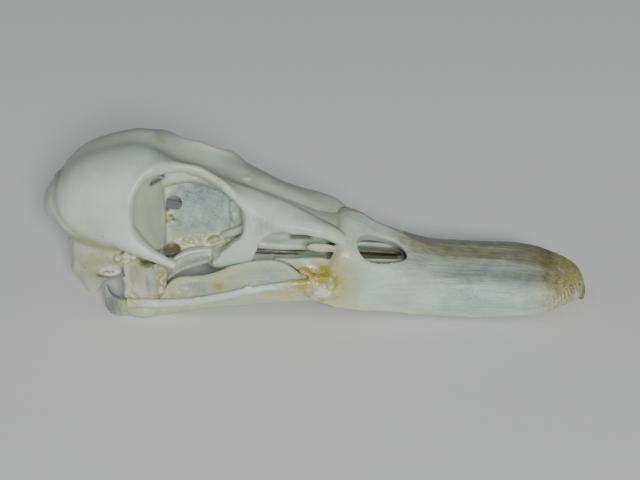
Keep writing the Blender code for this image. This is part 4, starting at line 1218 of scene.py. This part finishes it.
points, normals, right, x, y, z = survey(bill)
deep = hollowness(bill, points, normals)
large, small = clouds(points, 7.0, 15), clouds(points, 1.8, 16)
culmen = ramp(stroke(points, CULMEN, 6.4) + 0.12 * small, 0.35, 0.9) * ramp(x, 12, 20)
culmen = np.maximum(culmen, ramp(x + 0.8 * small, 45.5, 54.0) * ramp(z + 0.8 * small, 2.4, 5.6))
amber_spot = np.minimum(crust + spot(right, (-0.4, -10.6, 8.4), (4.6, 3.2, 3.4)), 1)
nose_floor = within(x, 3, 6, 19, 21) * ramp(y, -6.6, -5.0) * within(z, 8.6, 9.4, 11.0, 12.0)
inner_bar = stroke(right, [(3, -3.5, 10.6), (20, -3.0, 10.2)], 0.7)
beside_bar = nose_floor * (1 - inner_bar)
# The shelf beside the palate slit, darker and browner on the right side, partly as painted shade.
near_slit = ramp(y, -2.8, -2.3) * ramp(z, 10.8, 10.4) * ramp(x, 17.4, 16.6)
near_slit *= 0.4 + 0.6 * (points[:, 1] < 0)
# Painted shade: the far wall inside the palate slit.
in_slit = within(x, 6.5, 7.5, 17.4, 18.0) * ramp(y, -1.0, -0.8) * within(z, 7, 8, 9.8, 10.1)

# %% Thin, fatty and chalky places of the bill
thin = (0.7 + 0.6 * small) * patches(right, {
    "shoulder": (0.55, (35.0, -7.4, 9.2), (7.5, 2.4, 1.6)),
    "side": (0.25, (34.0, -10.0, 7.0), (9.0, 3.0, 2.6)),
})
thin += 0.75 * spot(right, (43.5, -8.0, 8.6), (4.5, 2.5, 2.0)) * (0.8 + 0.4 * small)
thin += 0.35 * stroke(right, THIN_LINE, 1.1) + 0.30 * ramp(large, 0.0, 0.6) * (1 - tip)
thin += 0.5 * beside_bar * (1 - near_slit)

fat = 0.70 * culmen * (0.8 + 0.4 * small) + 0.70 * tip * (0.8 + 0.3 * small) + 0.8 * crust
fat += 0.70 * spot(right, (4.0, -10.0, 10), (4.8, 3, 7)) + 0.3 * ramp(x, 10, 4)
fat += 0.35 * stroke(right, LOWER_EDGE, 0.9) + 0.4 * ramp(deep, 0.05, 0.4)

amber = 0.9 * amber_spot * ramp(small + 1.5 * deep, -0.8, 0.3) + 0.38 * tip * (0.8 + 0.5 * small)
amber += 0.7 * spot(right, (0.4, -8.8, 11.0), (2.4, 1.6, 0.9))
amber += 0.10 * culmen + 0.3 * nose_floor * near_slit

chalk = patches(right, {
    "lump on the cheek": (0.85, (1.0, -11.4, 6.8), (2.6, 1.6, 1.4)),
    "front of the nose's floor": (0.7, (18.4, -1.8, 10.2), (1.1, 1.6, 0.9)),
})
chalk += 0.7 * stroke(right, PILLAR_LIP, 0.6) + 0.45 * band * (1 - grooves)
chalk += 0.4 * nose_floor * inner_bar

# %% Dirt and painted shade of the bill
# Dirt in the pits and grooves of the tip, and painted shade in the hollows.
soil = 0.30 * tip * pits + 0.40 * band * grooves + 0.55 * ramp(deep, 0.3, 1.0)
soil += 0.40 * culmen * (0.9 + 0.3 * small) * (1 - 0.4 * tip) + 0.06 * ramp(x, 22, 34)
# Painted shade in the hollows of the crust, besides a darker patch by the cheek.
soil += 0.16 * spot(right, (4.0, -9.0, 11.0), (4, 4, 6)) + 0.15 * amber_spot * ramp(deep, 0.0, 0.3)
soil += 0.5 * ramp(x + z, 56.6, 55.4) * ramp(x, 53.0, 54.6) * ramp(z, 3.2, 2.4)
# The front of the tip is darker low down; the palate slit gets painted shade.
soil += 0.5 * ramp(x, 56.2, 57.0) * ramp(z, 4.4, 3.0) + in_slit
# The shelf beside the slit and the nose's floor beside the bar are darkened, partly as painted shade.
soil += 0.5 * nose_floor * near_slit + 0.2 * beside_bar * (1 - 0.5 * ramp(small, -0.2, 0.4))
# Painted shade on the inside of the shell, low and near the middle.
soil += 0.45 * ramp(z, 10.4, 8.6) * ramp(np.abs(y), 9.0, 7.0) * ramp(x, 53, 48)
lined = 0.8 * ramp(x, 4, 20) * (1 - 0.6 * tip)
porous = 0.16 + 0.5 * tip + 0.4 * crust
note(bill, thin=thin, fat=fat, amber=amber, chalk=chalk, soil=soil, lined=lined, porous=porous)
finish_bone(bill, "bill_bone", "upper_bill")

# %% [markdown]
# ## Lower jaw
# The lower jaw is a long loop. Its two sides rise to a low hump behind the bill and end in a hooked
# heel that stands on the floor. One loft follows the loop, with a section square to the path, and the
# cup of the joint and the heel are joined to it.

# %% Jaw stations
JAW_HALF_WIDTH = 10.7
JAW = stations("out low high thick", [
    (-41.4, 10.9, 0.3, 3.8, 2.0),
    (-37.0, JAW_HALF_WIDTH, -0.4, 3.5, 2.6),
    (-34.0, 10.5, -0.3, 4.0, 2.4),
    (-32.2, 10.3, 0.0, 6.4, 2.0),
    (-30.2, 10.2, 0.4, 8.7, 1.9),
    (-28.2, 10.2, 0.8, 9.4, 1.8),
    (-24.5, 10.0, 1.4, 9.6, 1.7),
    (-21.5, 10.0, 1.8, 10.4, 1.7),
    (-17.9, 9.9, 2.1, 12.1, 1.7),
    (-14.2, 9.8, 2.4, 13.1, 1.7),
    (-10.5, 9.6, 2.7, 13.5, 1.8),
    (-7.9, 9.5, 2.9, 13.1, 1.8),
    (-4.2, 9.1, 3.0, 10.4, 1.8),
    (-2.2, 8.8, 2.9, 8.2, 1.8),
    (6.0, 8.1, 2.4, 7.2, 1.7),
    (24.0, 8.0, 1.5, 6.4, 1.6),
    (40.0, 8.5, 1.3, 5.2, 1.7),
    (46.0, 7.7, 1.6, 4.5, 2.0),
    (50.0, 5.4, 1.9, 4.1, 2.4),
    (52.0, 2.6, 2.0, 3.9, 2.6),
])
CHIN = [(46.6, 6.4), (50.2, 4.8), (52.4, 0.0), (50.2, -4.8), (46.6, -6.4), (45.0, 0.0)]
CHIN_UNDER, CHIN_TOP = 2.2, 3.4

# %% Jaw loop
def jaw_path():
    """The middle line of the lower jaw, from the right heel round the tip to the left heel."""
    rear = np.linspace(JAW[0][0], -2.2, 60)
    front = along_curve([[x] for x in (1.5, 12, 24, 36, 43, 47, 50, 52)])[:, 0]
    right = [(x, -at_station(JAW, x)["out"], at_station(JAW, x)) for x in (*rear, *front)]
    left = [(x, -y, at) for x, y, at in reversed(right)]
    return [*right, (52.4, 0.0, at_station(JAW, 52.0)), *left]


def jaw_loop():
    """Both sides of the jaw as one loft, with a section square to the path at each place."""
    path = jaw_path()
    rings = []
    for i, (x, y, at) in enumerate(path):
        before, after = path[max(i - 1, 0)], path[min(i + 1, len(path) - 1)]
        ahead = Vector((after[0] - before[0], after[1] - before[1], 0)).normalized()
        side = Vector((-ahead.y, ahead.x, 0))
        middle, reach = (at["high"] + at["low"]) / 2, (at["high"] - at["low"]) / 2
        ring = oval(28, at["thick"] / 2, reach, 2.6)
        rings.append([Vector((x, y, middle)) + side * a + Vector((0, 0, b)) for a, b in ring])
    return loft("rami", rings)

# %% Heels and the whole jaw
def heel(side):
    """The back end of one side: the cup of the joint, its inner spur and the upturned hook."""
    hook = plate("hook", [
        (-44.1, 7.8, 0.2), (-43.6, 6.0, 0.1), (-42.8, 4.9, 0), (-41.2, 4.1, 0), (-38.5, 3.4, 0),
        (-38.0, 1.0, 0), (-41.0, 0.2, 0), (-43.0, 0.5, 0), (-44.2, 1.8, 0), (-44.7, 3.7, 0),
        (-44.6, 6.0, 0.1),
    ], side, 10.3, 11.7)
    cup = ellipsoid("cup", (-36.8, side * 10.3, 1.8), (4.2, 2.9, 2.2))
    spur = rod("spur", [(-36.6, 9.0, 2.2, 1.4, 1.3), (-37.4, 6.4, 3.2, 0.8, 0.8)], side)
    return [hook, cup, spur]


def below_floor():
    """A block under the floor, to take off what would reach below it."""
    bm = bmesh.new()
    bmesh.ops.create_cube(bm, size=1.0)
    size = Vector((200, 60, 10)) * MM
    place = Matrix.Translation((0, 0, -size.z / 2)) @ Matrix.Diagonal((*size, 1.0))
    bmesh.ops.transform(bm, matrix=place, verts=bm.verts)
    return mesh_object("below_floor", bm)


chin_edge = along_curve([*CHIN, CHIN[0]])[:-1]
chin = loft("chin", [[(x, y, z) for x, y in chin_edge] for z in (CHIN_UNDER, CHIN_TOP)])
jaw = grow("dry_mandible", [jaw_loop(), chin, *heel(RIGHT), *heel(LEFT)], [below_floor()], 0.25, 2)
print("the lower jaw has", len(jaw.data.vertices), "points")

# %% [markdown]
# A jaw bone is hollowed where muscles held on, and one low ridge runs between the two hollows. Its
# stains are patches of blue-grey, yellow and amber, most of them round the joint and the hinge of
# the bill. The heel is thin and grey.

# %% Jaw relief
FOSSA = (-11.0, -10.5, 10.4)
BROWN_SPOT = (-20.9, -10.8, 7.4)
FLOOR_CLEARANCE = 0.5

points, normals, right, x, y, z = survey(jaw)
push = patches(right, {
    "front hollow": (-0.45, FOSSA, (4.2, 1.2, 1.5)),
    "rear hollow": (-0.30, (-24.5, -11.0, 6.8), (4.0, 1.2, 1.2)),
})
push += 0.25 * stroke(right, [(-31, -10.9, 7.5), (-24, -10.9, 8.8), (-18, -10.8, 10.4)], 0.7)
push += 0.07 * clouds(points, 2.4, 21)
push[z < FLOOR_CLEARANCE] = 0
write_skin(jaw, points + normals * push[:, None])
print("jaw relief from", round(push.min(), 2), "to", round(push.max(), 2), "mm")

# %% Jaw stains and painted shade
points, normals, right, x, y, z = survey(jaw)
deep = hollowness(jaw, points, normals)
large, small = clouds(points, 5.0, 22), clouds(points, 1.5, 23)
thin = patches(right, {
    "under the hump": (0.5, (-17.5, -10.6, 8.6), (1.8, 2.0, 1.2)),
    "heel": (1.2, (-43.2, -11.6, 3.0), (3.2, 3.0, 3.4)),
    "rear hollow": (0.55, (-25.0, -10.6, 6.6), (3.0, 2.0, 1.6)),
})
thin += 0.85 * spot(right, FOSSA, (4.2, 2.0, 1.7)) * (0.8 + 0.4 * small)
thin += 0.25 * ramp(large, 0, 0.5)

fat = patches(right, {
    "brown spot": (0.6, BROWN_SPOT, (1.9, 1.5, 1.6)),
    "cup of the joint": (0.65, (-36.0, -12.0, 3.2), (4.8, 3.0, 1.4)),
    "under the hinge of the bill": (0.6, (-8.0, -10.5, 5.0), (6.0, 2.0, 1.8)),
})
fat += 0.9 * spot(right, (-30.5, -10.8, 5.8), (3.6, 2.0, 2.6)) * (0.7 + 0.6 * ramp(small, -0.3, 0.3))
fat += 0.4 * stroke(right, [(-28, -10.5, 9.4), (-18, -10.5, 11.6)], 0.8)
fat += 0.35 * ramp(large, 0.1, -0.4) + 0.25 * ramp(small, 0.0, 0.6) + 0.3 * ramp(deep, 0.05, 0.4)

amber = patches(right, {
    "brown spot": (0.5, BROWN_SPOT, (1.3, 1.5, 1.1)),
    "edge of the joint": (0.3, (-36.5, -12.8, 3.4), (3, 2, 0.7)),
})
amber += 0.45 * spot(right, (-5.4, -10.0, 5.8), (4.6, 2.0, 0.9)) * (0.9 + 0.5 * small)

chalk = 0.4 * spot(right, (-34.5, -10.8, 5.0), (1.4, 1.4, 1.0))
crumbs = ramp(clouds(points, 0.9, 24), 0.15, 0.5)
chalk += 0.6 * crumbs * spot(right, (-29.0, -10.8, 6.4), (3.0, 1.5, 2.0))

soil = patches(right, {
    "brown spot": (0.2, BROWN_SPOT, (1.0, 1.5, 0.8)),
    "heel": (0.50, (-43.4, -11.6, 2.8), (3.0, 3.0, 3.4)),
})
# Painted shade on the inner face of the left side, where it lies behind the openings of the upper
# bill.
far_side = ramp(points[:, 1], 6.0, 6.6) * ramp(normals[:, 1], -0.6, -0.9)
soil += 0.85 * far_side * (within(x, 5, 8, 18, 21) + within(x, -16, -13, -3, -1))
# Painted shade in the hollows.
soil += 0.5 * ramp(deep, 0.2, 0.8)
note(jaw, thin=thin, fat=fat, amber=amber, chalk=chalk, soil=soil, lined=0.5, porous=0.2)
finish_bone(jaw, "jaw_bone", "mandible")

# %% [markdown]
# ## The small paired bones
# Four small bones on each side join the jaw and the bill to the cranium: the cheek bar, the quadrate
# that hangs the jaw, the pterygoid and the palatine. They are rods with a changing oval section. The
# vomer is a thin keel between the palatines.

# %% Small bones
GRAIN_RELIEF = 0.09


def of_side(bone, side):
    """The node's name of a paired bone."""
    return f"{bone}_{'right' if side == RIGHT else 'left'}"


def small_bone(node, forms, cutters, slot, stains_and_shade, voxel=0.17, rounding=2):
    """A small bone with its grain, each stain and painted shade, and its place. The given function's
    values are added to these.
    """
    bone = grow(f"dry_{node}", forms, cutters, voxel, rounding)
    points, normals = read_skin(bone)
    write_skin(bone, points + normals * GRAIN_RELIEF * clouds(points, 1.3, 31)[:, None])
    points, normals = read_skin(bone)
    deep = hollowness(bone, points, normals)
    small = clouds(points, 1.5, 32)
    values = {
        "thin": 0.4 * ramp(clouds(points, 3.0, 33), 0.0, 0.5),
        "fat": 0.3 * ramp(small, -0.1, 0.6) + 0.5 * ramp(deep, 0.03, 0.3),
        # Painted shade in the hollows.
        "soil": 0.5 * ramp(deep, 0.12, 0.5),
        "lined": 0.4,
        "porous": 0.15,
    }
    for key, value in stains_and_shade(folded(points)).items():
        values[key] = values.get(key, 0) + value
    note(bone, **values)
    finish_bone(bone, slot, node)

# %% [markdown]
# The cheek bar is a thin rod, worn pale in the middle and yellow where it meets the bill and the
# quadrate.

# %% Cheek bars
def jugal_bar(side):
    """The thin cheek bar from the quadrate to the base of the bill."""
    bar = rod("bar", [
        (-39.8, 12.7, 4.3, 0.75, 1.1), (-33.0, 12.8, 4.3, 0.65, 0.95),
        (-25.0, 12.6, 5.0, 0.6, 0.85), (-16.0, 12.2, 7.0, 0.55, 0.8),
        (-8.0, 11.6, 8.4, 0.6, 0.8), (-3.4, 11.0, 8.6, 0.8, 1.0),
        (-0.6, 10.7, 8.2, 0.8, 1.3),
    ], side)
    bump = ellipsoid("bump", (-14.4, side * 12.1, 8.1), (0.9, 0.4, 0.5))

    def stains_and_shade(right):
        front, back = ramp(right[:, 0], -10, -4), ramp(right[:, 0], -34, -39)
        return {"fat": 0.8 * front + 0.6 * back, "amber": 0.7 * front * front + 0.25 * back,
                "chalk": 0.35 * (1 - front) * (1 - back)}

    small_bone(of_side("jugal_bar", side), [bar, bump], [], "cheek_bone", stains_and_shade)

# %% [markdown]
# The quadrate is a block with raised edges and a dished side. Knuckles of yellow, crusty bone mark
# its joints, and a prong reaches towards the eye.

# %% Quadrates
def quadrate(side):
    """The block that hangs the jaw from the skull, with its prong towards the eye."""
    body = upright_form("body", [
        (4.3, -36.8, 10.2, 3.9, 2.0), (6.0, -36.7, 10.2, 4.1, 1.9), (8.6, -36.5, 10.0, 4.0, 1.5),
        (11.2, -37.0, 10.2, 3.2, 1.4), (12.8, -38.3, 10.5, 1.8, 1.4), (15.4, -38.8, 10.5, 1.0, 1.2),
    ], side)
    prong = rod("prong", [
        (-35.4, 10.2, 9.2, 1.2, 2.6), (-32.8, 9.2, 9.9, 1.0, 2.3),
        (-30.4, 7.2, 11.4, 0.6, 1.3),
    ], side)
    socket = rod("socket", [(-38.0, 10.6, 4.9, 1.4, 1.2), (-39.2, 11.8, 4.6, 0.9, 1.0)], side)
    rear_edge = rod("rear_edge", [
        (-39.6, 11.0, 14.2, 0.8, 0.8), (-39.7, 11.2, 11.6, 0.7, 0.7),
        (-39.3, 11.3, 8.6, 0.7, 0.7), (-39.7, 11.2, 5.6, 1.0, 1.0),
    ], side)
    slant = rod("slant", [
        (-40.2, 11.0, 9.8, 0.8, 0.8), (-38.4, 11.4, 6.9, 0.8, 0.8),
        (-36.4, 11.5, 4.9, 0.9, 0.8),
    ], side)
    pillar = rod("pillar", [
        (-35.0, 10.9, 4.8, 1.3, 1.3), (-34.8, 10.8, 8.6, 1.2, 1.2),
        (-35.4, 10.6, 12.2, 1.1, 1.1),
    ], side)
    front_edge = rod("front_edge", [
        (-33.6, 10.4, 5.2, 1.0, 1.0), (-32.4, 10.0, 7.6, 0.8, 0.8),
        (-32.3, 9.7, 9.8, 0.9, 0.9), (-33.6, 9.8, 11.4, 0.7, 0.7),
    ], side)
    knuckles = lumps(
        "knuckle", side, (-33.4, 10.6, 5.6, 1.3, 0.9, 1.0, 0), (-39.8, 11.5, 14.0, 1.0, 0.9, 0.8, 0),
        (-38.2, 11.6, 14.6, 0.8, 0.9, 0.6, 0),
    )
    dish = ellipsoid("dish", (-37.9, side * 13.0, 10.6), (1.7, 1.75, 2.8), -10)

    def stains_and_shade(right):
        low = ramp(right[:, 2], 7.0, 4.6)
        top = spot(right, (-39.8, -11.6, 14.6), (3.4, 2.0, 1.6))
        dished = spot(right, (-38.0, -11.4, 10.4), (2.2, 1.6, 3.0))
        panel = spot(right, (-34.9, -12.0, 8.6), (1.3, 1.4, 3.0))
        rough = ramp(clouds(right, 0.8, 34), 0.0, 0.5)
        edge = ramp(right[:, 0], -34.2, -33.0) * ramp(right[:, 1], -8.6, -9.4)
        gap = spot(right, (-35.6, -10.6, 12.9), (1.8, 2.0, 0.9))
        border = ramp(right[:, 0], -38.4, -39.6)
        # Painted shade: the dished side, the inner front edge and the gap above are darkened, besides
        # the stains.
        return {"fat": 0.6 * low + 0.7 * top + 0.5 * dished + 0.7 * edge + 0.12, "thin": 0.9 * panel,
                "chalk": (0.5 * low + 0.6 * top + 0.25 * edge) * rough + 0.35 * border,
                "soil": 0.26 * dished + 0.35 * edge * (1 - rough) + 0.8 * gap,
                "amber": (0.3 * top + 0.2 * edge) * (1 - rough)}

    forms = [body, prong, socket, rear_edge, slant, pillar, front_edge, *knuckles]
    small_bone(of_side("quadrate", side), forms, [dish], "joint_bone", stains_and_shade, 0.2, 5)

# %% [markdown]
# The pterygoid slopes in and forward from the quadrate, a thin web between two stouter edges. The
# palatine goes on from it along the roof of the mouth.

# %% Pterygoids and palatines
def pterygoid(side):
    """The short strut from the quadrate in to the rostrum, deep in front."""
    strut = rod("strut", [
        (-34.4, 8.6, 7.2, 1.1, 1.2), (-31.2, 6.2, 8.9, 1.2, 1.4),
        (-28.2, 4.2, 10.1, 1.5, 1.9), (-25.2, 3.3, 10.6, 1.5, 1.8),
        (-22.4, 3.0, 11.0, 1.4, 1.4),
    ], side)
    upper_edge = rod("upper_edge", [
        (-32.0, 6.8, 10.2, 0.5, 0.5), (-28.6, 5.3, 11.7, 0.45, 0.5),
        (-25.4, 4.4, 12.2, 0.45, 0.5), (-22.8, 3.8, 12.1, 0.5, 0.5),
    ], side)
    lower_edge = rod("lower_edge", [
        (-33.0, 8.0, 6.6, 0.5, 0.5), (-29.6, 6.2, 8.3, 0.4, 0.45),
        (-26.2, 4.8, 9.0, 0.4, 0.45), (-23.0, 4.2, 9.8, 0.4, 0.4),
    ], side)

    def stains_and_shade(right):
        edge = ramp(right[:, 2], 10.6, 12.0)
        return {"thin": 0.85 * spot(right, (-26.2, -5.2, 11.0), (3.0, 2.0, 1.4)),
                "chalk": 0.5 * edge, "fat": 0.3 * edge}

    forms = [strut, upper_edge, lower_edge]
    small_bone(of_side("pterygoid", side), forms, [], "palate_bone", stains_and_shade)


def palatine(side):
    """The long bone of the roof of the mouth, a tall blade behind and a flat shelf in front."""
    bar = rod("bar", [
        (-23.2, 3.8, 10.0, 0.8, 1.2), (-21.2, 4.4, 9.9, 0.9, 1.9),
        (-18.0, 4.7, 10.0, 1.0, 1.8), (-14.6, 4.7, 10.6, 1.1, 1.4),
        (-11.0, 5.1, 11.0, 1.7, 0.75),
        (-6.0, 5.2, 11.0, 1.9, 0.55), (-1.0, 5.2, 10.9, 1.9, 0.5),
        (5.0, 5.2, 10.8, 2.0, 0.5),
    ], side)

    def stains_and_shade(right):
        front = ramp(right[:, 0], -14, -9)
        # The front shelf gets chalk and a painted highlight.
        return {"thin": 0.15 * front, "chalk": 0.5 * front}

    small_bone(of_side("palatine", side), [bar], [], "palate_bone", stains_and_shade)

# %% Both sides, and the vomer between them
for side in SIDES:
    for bone_maker in (jugal_bar, quadrate, pterygoid, palatine):
        bone_maker(side)


def vomer_painted_shade(right):
    """Painted shade: the vomer's upper part is dark brown, for the shade of the narrow gap above it.
    """
    return {"soil": 0.9 * ramp(right[:, 2], 8.8, 9.5)}


keel = rod("keel", [
    (-19.0, 0, 8.8, 0.55, 1.0), (-13.0, 0, 9.0, 0.6, 1.5), (-5.0, 0, 9.0, 0.6, 1.3),
    (2.0, 0, 8.9, 0.5, 0.9),
])
small_bone("vomer", [keel], [], "palate_bone", vomer_painted_shade)

# %% [markdown]
# ## Floor and light
# The skull stands on a plain pale floor. One large soft light stands beside the camera, so that the
# side of the skull is bright and its top is a little darker, and a weak one fills the far side.

# %% Floor
FLOOR_SIZE = 3000
bm = bmesh.new()
bmesh.ops.create_grid(bm, x_segments=2, y_segments=2, size=FLOOR_SIZE / 2 * MM)
floor = mesh_object("floor", bm)
paint = bpy.data.materials.new("pale_floor")
paint.use_nodes = True
tree = paint.node_tree
shader = tree.nodes["Principled BSDF"]
place = add(tree, "ShaderNodeTexCoord").outputs["Object"]
fleck = add(tree, "ShaderNodeTexNoise", {"Vector": place, "Scale": 300, "Detail": 4}).outputs[0]
tone = mixed(tree, fleck, (0.90, 0.90, 0.895, 1), (0.93, 0.93, 0.925, 1))
tree.links.new(tone, shader.inputs["Base Color"])
shader.inputs["Roughness"].default_value = 0.8
floor.data.materials.append(paint)

# %% Lights
def soft_light(name, azimuth, elevation, distance, size, watts):
    """A square soft light that looks at the skull. Azimuth 0 is the camera's side."""
    a, e = math.radians(azimuth), math.radians(elevation)
    away = Vector((math.sin(a) * math.cos(e), -math.cos(a) * math.cos(e), math.sin(e)))
    lamp = bpy.data.lights.new(name, "AREA")
    lamp.energy = watts
    lamp.size = size * MM
    light = bpy.data.objects.new(name, lamp)
    light.location = AIM + away * distance * MM
    light.rotation_euler = (-away).to_track_quat("-Z", "Y").to_euler()
    bpy.context.scene.collection.objects.link(light)


soft_light("key", 9, 27, 1500, 330, 18.8)
soft_light("fill", -60, 40, 1600, 900, 1.4)
world = bpy.data.worlds.new("studio")
bpy.context.scene.world = world
world.use_nodes = True
sky = world.node_tree.nodes["Background"]
sky.inputs["Color"].default_value = (0.92, 0.96, 1.0, 1)
sky.inputs["Strength"].default_value = 0.14
